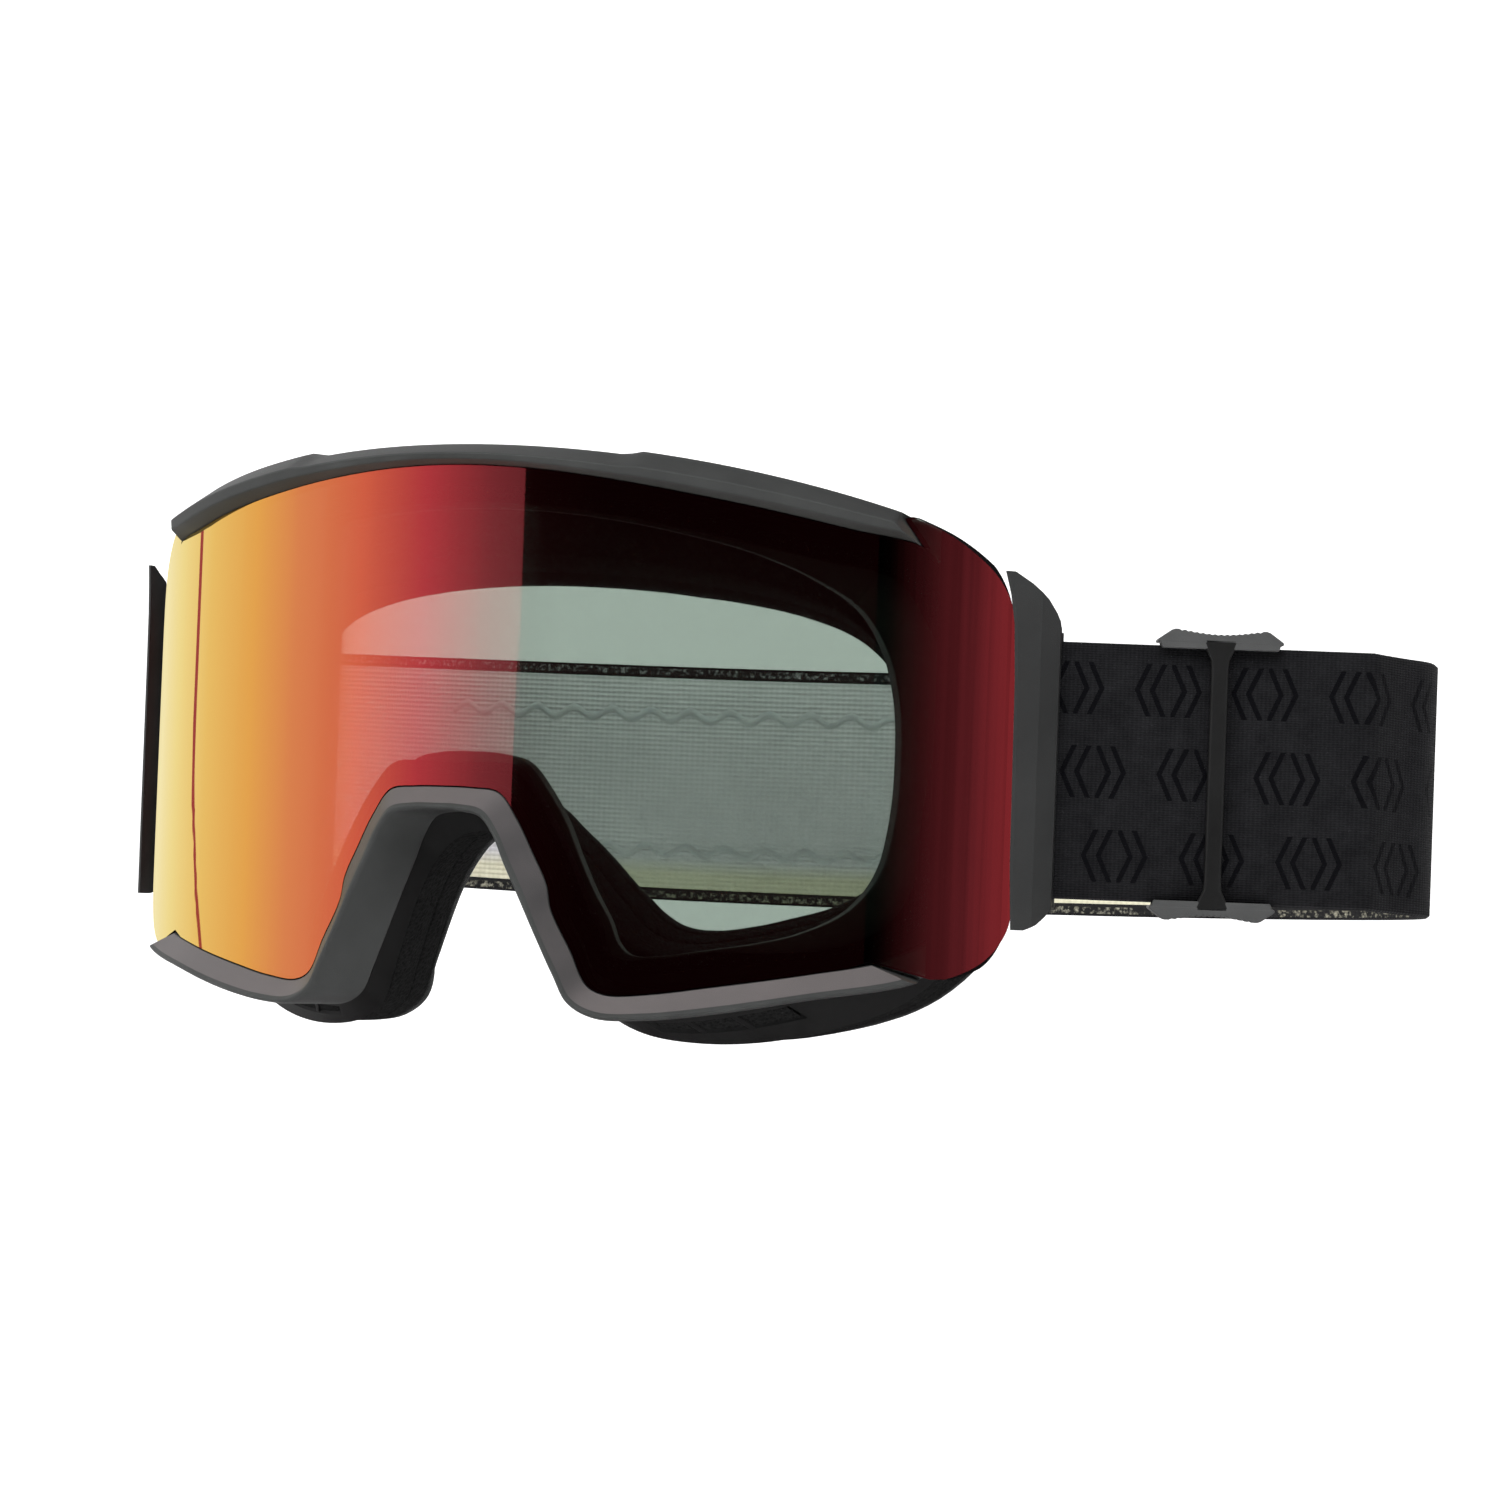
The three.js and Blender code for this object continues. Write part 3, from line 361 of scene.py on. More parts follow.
# ---- material nodes
class Nodes:
    """The node tree of a material or world: node() adds a node and wires or sets its inputs."""

    def __init__(self, owner, output):
        owner.use_nodes = True
        self.owner = owner
        self.tree = owner.node_tree
        self.tree.nodes.clear()
        self.output = self.node(output)

    def node(self, kind, inputs=None, **settings):
        made = self.tree.nodes.new(kind)
        for key, value in settings.items():
            setattr(made, key, value)
        for key, value in (inputs or {}).items():
            socket = made.inputs[key]
            if isinstance(value, bpy.types.NodeSocket):
                self.tree.links.new(value, socket)
            else:
                socket.default_value = value
        return made

    def finish(self, surface):
        self.tree.links.new(surface.outputs[0], self.output.inputs["Surface"])
        return self.owner

    def where(self, kind="Object"):
        return self.node("ShaderNodeTexCoord").outputs[kind]

    def math(self, operation, a, b=0.0):
        return self.node("ShaderNodeMath", {0: a, 1: b}, operation=operation).outputs[0]

    def plus(self, a, b):
        return self.math("ADD", a, b)

    def minus(self, a, b):
        return self.math("SUBTRACT", a, b)

    def times(self, a, b):
        return self.math("MULTIPLY", a, b)

    def size(self, a):
        return self.math("ABSOLUTE", a)

    def below(self, a, b):
        return self.math("LESS_THAN", a, b)

    def larger(self, a, b):
        return self.math("MAXIMUM", a, b)

    def axes(self, vector):
        return self.node("ShaderNodeSeparateXYZ", {"Vector": vector}).outputs

    def stretched(self, scale):
        inputs = {"Vector": self.where(), "Scale": scale}
        return self.node("ShaderNodeMapping", inputs).outputs[0]

    def noise(self, scale, detail=4, roughness=0.6, vector=None):
        inputs = {"Vector": vector or self.where(), "Scale": scale}
        inputs.update({"Detail": detail, "Roughness": roughness})
        return self.node("ShaderNodeTexNoise", inputs).outputs["Fac"]

    def ramp(self, factor, stops):
        made = self.node("ShaderNodeValToRGB", {"Fac": factor})
        elements = made.color_ramp.elements
        while len(elements) < len(stops):
            elements.new(0.5)
        for element, (position, colour) in zip(elements, stops):
            element.position = position
            element.color = (*colour, 1)
        return made.outputs["Color"]

    def mix(self, factor, first, second):
        inputs = {0: factor, 6: first, 7: second}
        return self.node("ShaderNodeMix", inputs, data_type="RGBA").outputs[2]

    def level(self, factor, low, high):
        """A grey factor mapped onto a range of numbers."""
        inputs = {"Value": factor, "To Min": low, "To Max": high}
        return self.node("ShaderNodeMapRange", inputs).outputs["Result"]

    def bump(self, height, distance, normal=None):
        inputs = {"Height": height, "Distance": distance * MM, "Strength": 1}
        if normal:
            inputs["Normal"] = normal
        return self.node("ShaderNodeBump", inputs).outputs["Normal"]

    def principled(self, colour, roughness, normal=None, gloss=0.5, **more):
        inputs = {"Base Color": colour, "Roughness": roughness, "Specular IOR Level": gloss}
        if normal:
            inputs["Normal"] = normal
        inputs.update({key.replace("_", " "): value for key, value in more.items()})
        return self.finish(self.node("ShaderNodeBsdfPrincipled", inputs))


def shader(name):
    return Nodes(bpy.data.materials.new(name), "ShaderNodeOutputMaterial")


def grey(value, tint=(1, 1, 1)):
    return tuple(value * c for c in tint)


def moulded(name, low, high, tint, roughness, grain=0.05, gloss=0.25):
    """Moulded plastic or rubber: spark-eroded grain, faint flow marks, paler sharp ridges and painted
    shade in creases.
    """
    s = shader(name)
    fine, broad = s.noise(5200, 3), s.noise(55, 5)
    # Pointiness makes sharp ridges paler and creases darker; the darker creases are painted shade.
    edge = s.level(s.node("ShaderNodeNewGeometry").outputs["Pointiness"], 0, 1)
    mixed = s.plus(s.times(broad, 0.75), s.times(fine, 0.25))
    ridges_and_crease_shade = s.plus(mixed, s.times(s.minus(edge, 0.5), 1.2))
    colour = s.ramp(ridges_and_crease_shade, [(0.3, grey(low, tint)), (0.75, grey(high, tint))])
    rough = s.level(broad, roughness - 0.07, roughness + 0.07)
    return s.principled(colour, rough, s.bump(fine, grain), gloss)


def ledge_with_painted_highlight(name):
    """The bezel's sloping ledge: the frame's plastic with painted light, paler and a little pink
    where it faces upwards, standing in for the light from above and the lens's reddish reflection.
    """
    s = shader(name)
    fine, broad = s.noise(5200, 3), s.noise(55, 5)
    normal = s.node("ShaderNodeNewGeometry").outputs["Normal"]
    # Painted highlight: the colour follows how far each face turns upwards, with a little noise.
    painted_light_upwards = s.plus(s.axes(normal)[2], s.times(s.minus(broad, 0.5), 0.3))
    colour = s.ramp(painted_light_upwards, [(0.15, (0.040, 0.039, 0.040)), (0.75, (0.125, 0.112, 0.112))])
    return s.principled(colour, s.level(broad, 0.38, 0.5), s.bump(fine, 0.05), 0.25)


def open_foam(name, value, cell):
    """Open-cell foam: small pores, painted darker towards their bottoms as painted shade."""
    s = shader(name)
    pores = s.node("ShaderNodeTexVoronoi", {"Vector": s.where(), "Scale": cell})
    depth = pores.outputs["Distance"]
    cloud = s.noise(120, 4)
    # Painted shade: darker where the pores are deepest.
    colour = s.ramp(depth, [(0.1, grey(value * 0.5)), (0.6, grey(value * 1.5))])
    tinted = s.mix(s.times(cloud, 0.4), colour, (*grey(value * 1.8), 1))
    return s.principled(tinted, 0.95, s.bump(depth, 0.3, s.bump(cloud, 0.5)), 0.04)


def fleece(name, value):
    """Brushed fleece: short curled fibres with a soft sheen."""
    s = shader(name)
    fibre = s.noise(1500, 6, 0.75, s.stretched((1, 1.6, 0.7)))
    height = s.plus(fibre, s.times(s.noise(260, 3, 0.5), 0.6))
    colour = s.ramp(height, [(0.5, grey(value * 0.5)), (1, grey(value * 2))])
    return s.principled(
        colour, 0.98, s.bump(height, 0.35), 0.04, Sheen_Weight=0.12, Sheen_Roughness=0.4)


def knit(s, across_pitch, along_pitch):
    """Height of a fine knit, from the strap's own length and width in metres."""
    along, across = s.axes(s.where("UV"))[:2]
    turn = 2 * math.pi / MM
    rows = s.math("SINE", s.times(across, turn / across_pitch))
    stitches = s.math("SINE", s.times(along, turn / along_pitch))
    return along, across, s.plus(s.times(rows, 0.5), s.times(stitches, 0.3))


def motif_mask(s, along, across):
    """Three staggered rows of open chevrons and bars, as thin sunk lines."""
    pitch, row, shift = 17 * MM, 14.6 * MM, 4.3 * MM
    line, half_height = 0.5 * MM, 4.6 * MM
    from_low = s.plus(across, 22 * MM)
    rank = s.math("FLOOR", s.math("DIVIDE", from_low, row))
    shifted = s.plus(along, s.times(rank, shift))
    x = s.minus(s.math("FLOORED_MODULO", shifted, pitch), pitch / 2)
    y = s.minus(s.math("FLOORED_MODULO", from_low, row), row / 2)
    bars = None
    for offset, slope in ((-6.2, 0.45), (-3.6, 0.45), (2.6, -0.45), (5.2, -0.45)):
        lean = s.times(s.size(y), slope)
        bar = s.below(s.size(s.plus(s.minus(x, offset * MM), lean)), line)
        bars = s.larger(bars, bar) if bars else bar
    return s.times(bars, s.below(s.size(y), half_height))


def strap_outside(name):
    """Black elastic with a tone-on-tone woven pattern."""
    s = shader(name)
    along, across, height = knit(s, 0.42, 0.75)
    motif = motif_mask(s, along, across)
    cloud = s.noise(240, 5, 0.7)
    lint = s.math("GREATER_THAN", s.noise(2400, 2), 0.74)
    shade = s.plus(s.times(height, 0.22), s.times(cloud, 0.7))
    shade = s.minus(s.plus(shade, s.times(lint, 0.12)), s.times(motif, 0.75))
    colour = s.ramp(shade, [(0, (0.002, 0.002, 0.003)), (0.3, (0.008, 0.008, 0.009)),
                            (0.75, (0.018, 0.018, 0.020))])
    normal = s.bump(s.minus(s.times(height, 0.35), motif), 0.22)
    return s.principled(colour, 0.9, normal, 0.06, Sheen_Weight=0.05, Sheen_Roughness=0.5)


def strap_inside(name):
    """Pale backing, cream above its lower edge, with a dark line inside each frayed selvage."""
    s = shader(name)
    along, across, height = knit(s, 0.9, 1.1)
    half = STRAP_WIDTH / 2 * MM
    to_edge = s.minus(half, s.size(across))
    line = s.below(s.size(s.minus(to_edge, 2 * MM)), 0.3 * MM)
    frayed = s.times(s.below(to_edge, 1.8 * MM), s.level(s.noise(1100, 2), 2.1, -0.1))
    rim = s.below(to_edge, 0.35 * MM)
    dark = s.larger(s.larger(line, rim), s.math("MINIMUM", frayed, 1))
    fuzz, cloud = s.noise(700, 4), s.noise(60, 4)
    shade = s.plus(s.times(height, 0.2), s.times(s.plus(fuzz, cloud), 0.6))
    middle = s.ramp(shade, [(0.2, (0.62, 0.61, 0.63)), (0.9, (0.88, 0.86, 0.89))])
    cream = s.ramp(shade, [(0.2, (0.66, 0.62, 0.44)), (0.9, (0.90, 0.87, 0.68))])
    inputs = {"Value": s.plus(across, half), "From Min": 8 * MM, "From Max": 5 * MM}
    low = s.node("ShaderNodeMapRange", inputs).outputs[0]
    colour = s.mix(dark, s.mix(low, middle, cream), (0.016, 0.016, 0.017, 1))
    return s.principled(colour, 0.95, s.bump(s.plus(height, fuzz), 0.18))


def clouded(name, scale, detail, low, high, roughness, grain, **more):
    """A plain material whose colour and surface are a little uneven."""
    s = shader(name)
    cloud = s.noise(scale, detail)
    colour = s.ramp(cloud, [(0.3, low), (0.7, high)])
    return s.principled(colour, roughness, s.bump(cloud, grain), **more)


def steel(name, roughness):
    """Drawn or plated steel with fine lines along Z."""
    s = shader(name)
    lines = s.noise(4000, 3, 0.5, s.stretched((1, 1, 0.04)))
    colour = s.ramp(lines, [(0.3, (0.42, 0.42, 0.43)), (0.7, (0.62, 0.62, 0.63))])
    return s.principled(colour, s.level(lines, roughness - 0.08, roughness + 0.1), Metallic=1)


# Colour of the mirror coating by how obliquely it is seen, from straight on to grazing.
COATING = [
    (0.03, (0.06, 0.007, 0.009)), (0.062, (0.10, 0.013, 0.016)), (0.10, (0.17, 0.020, 0.025)),
    (0.165, (0.41, 0.036, 0.043)), (0.25, (0.62, 0.11, 0.055)), (0.36, (0.68, 0.21, 0.07)),
    (0.46, (0.76, 0.36, 0.075)), (0.60, (0.80, 0.50, 0.13)), (0.75, (0.86, 0.68, 0.26)),
    (0.88, (0.90, 0.78, 0.42)),
]
# How much light the tinted lens lets through, by the same angle.
PASSING = [
    (0.05, (0.27, 0.325, 0.285)), (0.12, (0.21, 0.25, 0.22)), (0.3, (0.10, 0.11, 0.10)),
    (0.5, (0.03, 0.03, 0.025)),
]


def mirror_lens(name):
    """Mirror coating on a grey-green tint, with faint smears in the coating."""
    s = shader(name)
    facing = s.node("ShaderNodeLayerWeight", {"Blend": 0.5}).outputs["Facing"]
    shifted = s.plus(facing, s.level(s.noise(14, 5, 0.55), -0.012, 0.012))
    coating, passing = s.ramp(shifted, COATING), s.ramp(facing, PASSING)
    rough = s.level(s.noise(40, 4), 0, 0.05)
    gloss = s.node("ShaderNodeBsdfAnisotropic", {"Color": coating, "Roughness": rough})
    through = s.node("ShaderNodeBsdfTransparent", {"Color": passing})
    return s.finish(s.node("ShaderNodeAddShader", {0: gloss.outputs[0], 1: through.outputs[0]}))


def clear_sheet(name, tint, haze):
    """A thin clear sheet with a faint gloss and haze."""
    s = shader(name)
    weight = s.node("ShaderNodeFresnel", {"IOR": 1.35}).outputs[0]
    rough = s.level(s.noise(30, 4), 0.03, 0.12)
    gloss = s.node("ShaderNodeBsdfAnisotropic", {"Roughness": rough}).outputs[0]
    through = s.node("ShaderNodeBsdfTransparent", {"Color": (*tint, 1)}).outputs[0]
    film = s.node("ShaderNodeBsdfDiffuse", {"Color": (0.6, 0.65, 0.62, 1)}).outputs[0]
    hazy = s.node("ShaderNodeMixShader", {0: haze, 1: through, 2: film}).outputs[0]
    return s.finish(s.node("ShaderNodeMixShader", {0: weight, 1: hazy, 2: gloss}))


COOL, PLUM = (0.98, 1, 1), (1, 0.9, 0.95)
FRAME_PLASTIC = moulded("moulded_frame", 0.035, 0.056, (0.96, 1, 0.98), 0.5)
# The bezel's ledge, with a painted highlight where it faces upwards.
LEDGE_PAINTED_HIGHLIGHT = ledge_with_painted_highlight("moulded_ledge_painted_highlight")
CARRIER_PLASTIC = moulded("moulded_carrier", 0.003, 0.005, PLUM, 0.7, 0.02, 0.03)
FLANGE_RUBBER = moulded("moulded_flange", 0.006, 0.011, (1, 1, 1), 0.6, 0.05, 0.15)
SLIDER_PLASTIC = moulded("moulded_slider", 0.048, 0.080, COOL, 0.42, 0.04)
# The slider's bars: the plates' nylon painted about six times darker, as painted shade.
BAR_PAINTED_SHADE = moulded("moulded_bar_painted_shade", 0.008, 0.014, COOL, 0.42, 0.04)
OUTRIGGER_PLASTIC = moulded("moulded_outrigger", 0.022, 0.034, COOL, 0.5)
BASE_FOAM = open_foam("foam_base", 0.006, 1500)
GASKET_FOAM = open_foam("foam_gasket", 0.004, 2500)
FLEECE = fleece("fleece", 0.007)
STRAP_OUTSIDE = strap_outside("strap_outside")
STRAP_INSIDE = strap_inside("strap_inside")
SILICONE = clouded(
    "silicone", 300, 3, (0.58, 0.57, 0.58), (0.72, 0.71, 0.72), 0.42, 0.08, Subsurface_Weight=0.1)
STEEL = steel("drawn_steel", 0.35)
MAGNET = steel("plated_magnet", 0.2)
THREAD = clouded("thread", 2600, 2, (0.012, 0.012, 0.013), (0.05, 0.05, 0.052), 0.8, 0.1)
MIRROR = mirror_lens("mirror_lens")
LENS_BORDER = moulded("lens_border", 0.004, 0.007, PLUM, 0.7, 0.01, 0.03)
LENS_REAR = clear_sheet("lens_rear", (1, 1, 1), 0.0)
INNER_PANE = clear_sheet("inner_pane", (0.96, 0.98, 0.97), 0.015)


# ---- lens assembly
def lens_outline():
    """The lens's outline on one side, from the top to the nose (x, z)."""
    edge = inset(stack_edge, opening_edge, EDGE_CLEARANCE)
    tip = BROW_END[2][0] + EDGE_CLEARANCE
    brow = [edge(s) for s in spread(0, 7, 84)]
    tip_height = float(np.interp(tip, [p.x for p in brow], [p.y for p in brow]))
    top = [tuple(p) for p in brow if p.x < tip] + [(tip, tip_height)]
    foot, peak = [Vector((x + EDGE_CLEARANCE, z)) for x, z in (BROW_END[2], BROW_END[1])]
    end = [tuple(foot), tuple(foot.lerp(peak, CORNER_REACH))]
    side_curve = catmull(LENS_SIDE, False)
    side = [tuple(side_curve(s)) for s in spread(0.62, len(LENS_SIDE) - 1, 90)]
    (low_x, low_z), (high_x, high_z) = BEZEL_END[2], BEZEL_END[1]
    bezel = [(low_x + EDGE_CLEARANCE, low_z + 0.9), (high_x + EDGE_CLEARANCE, high_z + 0.3)]
    side = [p for p in side if p[1] > bezel[0][1] or p[0] > 80]
    lower = [tuple(edge(s)) for s in spread(13.5, HALF, 150)]
    return top + end + side + bezel + [p for p in lower if p[0] < high_x]


def tapered(x):
    """A sheet's back is a little narrower than its front, to clear the turning outriggers."""
    over = max(abs(x) - TAPER_FROM, 0)
    return math.copysign(abs(x) - TAPER * over, x)


def plate(name, right, front, back, move, pitch):
    """A sheet on the lens's cylinder, bounded by an outline mirrored from its right half.

    Its materials are the front's, the back's, and the border's with the walls.
    """
    left = [(-x, z) for x, z in reversed(right) if x > 0.01]
    points = [(LENS_RADIUS * math.asin(x / LENS_RADIUS), z) for x, z in right + left]
    flat = bmesh.new()
    flat.faces.new([flat.verts.new((u, 0, z)) for u, z in points])
    reach = max(u for u, z in points)
    for u in spread(-reach, reach, 2 * round(reach / pitch))[1:-1]:
        everything = flat.verts[:] + flat.edges[:] + flat.faces[:]
        bmesh.ops.bisect_plane(
            flat, geom=everything, dist=1e-5, plane_co=(u, 0, 0), plane_no=(1, 0, 0))
    flat.verts.index_update()
    places = [(LENS_RADIUS * math.sin(v.co.x / LENS_RADIUS), v.co.z) for v in flat.verts]
    total = len(places)
    vertices = [move(x, z, front) for x, z in places]
    vertices += [move(tapered(x), z, back) for x, z in places]
    ahead = [tuple(v.index for v in f.verts) for f in flat.faces]
    behind = [tuple(total + i for i in reversed(f)) for f in ahead]
    rim = [[v.index for v in edge.verts] for edge in flat.edges if len(edge.link_faces) == 1]
    walls = [(a, b, b + total, a + total) for a, b in rim]
    flat.free()
    obj = add_mesh(name, vertices, ahead + walls + behind, sharp=25)
    for face in obj.data.polygons:
        rear = min(face.vertices) >= total
        wall = min(face.vertices) < total <= max(face.vertices)
        border = rear and abs(face.center.x) > BORDER_FROM * MM
        face.material_index = 2 if wall or border else int(rear)
    return obj


def ring_on_lens(name, outer, inner, back, front, radius):
    """A closed ring on the lens's cylinder with rounded edges."""
    rings = []
    for s in loop_stations(6):
        (ax, az), (bx, bz) = outer(s), inner(s)
        corners = [(ax, az, back), (ax, az, front), (bx, bz, front), (bx, bz, back)]
        rings.append(rounded([on_lens(*c) for c in corners], radius, 2))
    return loft(name, rings, closed=True)


def build_lens():
    lens = plate("lens_mirror", lens_outline(), 0, -LENS_THICK, straight_back, 1.1)
    place(lens, "lens", [MIRROR, LENS_REAR, LENS_BORDER], "mirror_lens", ["lens_outer"])
    behind = -LENS_THICK - 0.02
    carrier = ring_on_lens(
        "carrier_ring", stack_inset(0.6), stack_inset(3.4), PLATE_FRONT + GAP, behind, 0.3)
    place(carrier, "lens", [CARRIER_PLASTIC], "lens_carrier", ["lens_carrier"])
    gasket = ring_on_lens(
        "gasket_strip", stack_inset(3.45), stack_inset(6), GASKET_BACK, behind, 0.4)
    place(gasket, "lens", [GASKET_FOAM], "gasket_foam", ["lens_gasket"])
    edge = stack_inset(3.9)
    pane_outline = [tuple(edge(s)) for s in spread(0, HALF, 200)]
    pane = plate("anti_fog_pane", pane_outline, PANE_FRONT, PANE_BACK, on_lens, 1.6)
    place(pane, "lens", [INNER_PANE, INNER_PANE, LENS_BORDER], "clear_pane", ["lens_inner"])


# ---- frame
def frame_point(s, t, depth):
    (ax, az), (bx, bz) = stack_edge(s), outer_edge(s)
    return on_lens(ax + (bx - ax) * t, az + (bz - az) * t, depth)


def crossing(line, low, high):
    """A station between low and high: where the outline at (t, depth) meets an end line."""
    heights = sorted((z, x) for x, z in line)
    zs, xs = [z for z, _ in heights], [x for _, x in heights]

    def station(t, depth):
        def beyond(s):
            p = frame_point(s, t, depth)
            return p.x > np.interp(p.z, zs, xs)

        first, last = low, high
        start = beyond(first)
        for _ in range(30):
            middle = (first + last) / 2
            if beyond(middle) == start:
                first = middle
            else:
                last = middle
        return (first + last) / 2

    return station


def between(start, stop, share):
    """A station between two others, each a number or a function of (t, depth)."""
    def station(t, depth):
        first, last = [s(t, depth) if callable(s) else s for s in (start, stop)]
        return first + (last - first) * share

    return station


def frame_ring(section, station):
    """One ring of the frame, where station(t, depth) gives the place of each point."""
    front = [frame_point(station(t, d), t, d) for t, d in section]
    s = station(0.5, FRAME_FRONT)
    stack, opening = stack_edge(s), opening_edge(s)
    return [
        on_lens(*opening, PLATE_FRONT),
        on_lens(*stack, PLATE_FRONT),
        *front,
        frame_point(s, 1, FRAME_BACK + 1),
        frame_point(s, 0.7, FRAME_BACK),
        on_lens(*stack, FRAME_BACK),
        on_lens(*opening, FRAME_BACK),
    ]


def half_frame():
    """The rings of one side of the frame, from the top to the nose, and which are the bezel's."""
    brow_end, bezel_end = crossing(BROW_END, 4.6, 7), crossing(BEZEL_END, 12, 14.5)
    zones = [
        (BROW_SECTION, 0, 5, 35),
        (BROW_SECTION, 5, brow_end, 8),
        (SIDE_SECTION, brow_end, 8, 12),
        (SIDE_SECTION, 8, 11.6, 20),
        (SIDE_SECTION, 11.6, bezel_end, 8),
        (BEZEL_SECTION, bezel_end, 15, 10),
        (BEZEL_SECTION, 15, HALF, 77),
    ]
    rings, ledges = [], []
    for section, start, stop, count in zones:
        shares = spread(0, 1, count)
        same_section = rings and not callable(start)
        for share in shares[1:] if same_section else shares:
            rings.append(frame_ring(section, between(start, stop, share)))
            ledges.append(section is BEZEL_SECTION)
    return rings, ledges


LUG_PLAN = [(-9.8, -5.2), (-2.8, -8.4), (2.2, -2.2), (2.7, 0.4), (1.5, 2.3), (-0.6, 2.8), (-3.4, 1.0)]
LUG_HEIGHTS = [(11, 16), (-16, -11)]


def build_frame():
    right, ledges = half_frame()
    left = [[Vector((-p.x, p.y, p.z)) for p in ring] for ring in reversed(right[1:-1])]
    shell = loft("frame_shell", right + left, closed=True, sharp=28)
    on_ledge = ledges + ledges[-2:0:-1]
    count = len(right[0])
    for i, face in enumerate(shell.data.polygons):
        row, strip = divmod(i, count)
        after = (row + 1) % len(on_ledge)
        # The bezel's ledge strip takes the second material, with its painted highlight.
        face.material_index = int(strip == LEDGE_STRIP and on_ledge[row] and on_ledge[after])
    bevel(shell, 0.4, 3, 28)
    place(shell, "frame", [FRAME_PLASTIC, LEDGE_PAINTED_HIGHLIGHT], "frame_tpu", ["frame"])
    lofts = []
    for side in (1, -1):
        for heights in LUG_HEIGHTS:
            plan = rounded([Vector((side * (PIN[0] + x), PIN[1] + y, 0)) for x, y in LUG_PLAN], 1.2)
            lofts.append([[Vector((p.x, p.y, z)) for p in plan] for z in heights])
    lugs = bevel(loft("hinge_lugs", *lofts), 0.4, 2)
    place(lugs, "frame", [FRAME_PLASTIC], "frame_tpu", ["frame"])


# ---- flange, filters and foam
VENTS = [(-3.4, 3.4), (14.2, 16.4), (2 * HALF - 16.4, 2 * HALF - 14.2)]


def vent_rings(stations, reach, near, far):
    """A block through the flange's wall between two shares of the wall's depth."""
    front_mid, rear_mid = frame_inset(1 + FLANGE_WALL / 2), foam_inset(FLANGE_WALL / 2)
    rings = []
    for s in stations:
        a = on_lens(*front_mid(s), FRAME_BACK - GAP)
        b = on_face(*rear_mid(s), FOAM_TOTAL + GAP)
        out = frame_edge(s) - opening_edge(s)
        across = Vector((out[0], 0, out[1])).normalized() * reach
        p, q = a + (b - a) * near, a + (b - a) * far
        rings.append([p + across, q + across, q - across, p - across])
    return rings


def build_flange():
    rear = FOAM_TOTAL + GAP
    front_outer, front_inner = frame_inset(1), frame_inset(1 + FLANGE_WALL)
    rear_wall, rear_shelf = foam_inset(FLANGE_WALL), foam_inset(6)
    flange = loft("flange_wall", [[
        on_lens(*front_outer(s), FRAME_BACK - 0.02),
        on_face(*foam_outside(s), rear),
        on_face(*rear_shelf(s), rear),
        on_face(*rear_shelf(s), rear + 1.6),
        on_face(*rear_wall(s), rear + 1.6),
        on_lens(*front_inner(s), FRAME_BACK - 0.02),
    ] for s in loop_stations(6)], closed=True)
    cutters, ribs = [], []
    for first, last in VENTS:
        stations = spread(first, last, round((last - first) * 4))
        cutters.append(loft("vent_cutter", vent_rings(stations, FLANGE_WALL + 1, 0.28, 0.64)))
        for s in spread(first, last, round((last - first) / 0.75))[1:-1]:
            ribs.append(vent_rings([s - 0.05, s + 0.05], FLANGE_WALL / 2 - 0.05, 0.27, 0.65))
    cut(flange, cutters)
    bevel(flange, 0.3, 2)
    place(flange, "frame", [FLANGE_RUBBER], "flange_tpu", ["face_flange"])
    rib_piece = bevel(loft("vent_ribs", *ribs), 0.2, 2)
    place(rib_piece, "frame", [FLANGE_RUBBER], "flange_tpu")
    for word, (first, last) in zip(("top", "right", "left"), VENTS):
        stations = spread(first + 0.06, last - 0.06, round((last - first) * 6))
        filter_foam = loft("filter_" + word, vent_rings(stations, 0.66, 0.3, 0.62))
        place(filter_foam, "frame", [BASE_FOAM], "face_foam", ["vent_filter_" + word])


def hollow_edge(s, forward):
    a, b = foam_inside(s), foam_outside(s)
    return a + (b - a) * (FOAM_FLARE * forward / FOAM_TOTAL)


def foam_section(corners, radius, counts):
    """A rounded four-sided section with extra points along each side, and each point's side.

    A point of a rounded corner belongs to the side that it touches, or to no side.
    """
    soft = rounded(corners, radius)
    points, sides = [], []
    for i, count in enumerate(counts):
        group = soft[4 * i:4 * i + 4]
        after = soft[(4 * i + 4) % 16]
        points += group + [group[-1].lerp(after, k / count) for k in range(1, count)]
        sides += [(i - 1) % 4, None, None, i] + [i] * (count - 1)
    return points, sides


def foam_ring(name, behind, ahead, radius, glued):
    """One layer of the face foam, blown up by a cloth simulation where it isn't glued."""
    outer = foam_inset(0.45)
    wall = max(3, round(ahead - behind))
    rings = []
    for s in loop_stations(5):
        corners = [on_face(*outer(s), forward) for forward in (ahead, behind)]
        corners += [on_face(*hollow_edge(s, forward), forward) for forward in (behind, ahead)]
        points, sides = foam_section(corners, radius, [wall, 10, wall, 10])
        rings.append(points)
    obj = loft(name, rings, closed=True, sharp=60)
    group = obj.vertex_groups.new(name="glued")
    held = [i for i in range(len(obj.data.vertices)) if sides[i % len(sides)] in glued]
    group.add(held, 1.0, "REPLACE")
    swell(obj)
    return obj


FOAM_SWELL = 0.55  # how far a point of the foam may move out
CLOTH_STEPS = 20
CLOTH = {
    "quality": 4, "mass": 0.3, "tension_stiffness": 20, "compression_stiffness": 20,
    "shear_stiffness": 8, "bending_stiffness": 0.6, "use_pressure": True,
    "uniform_pressure_force": 16, "vertex_group_mass": "glued",
}


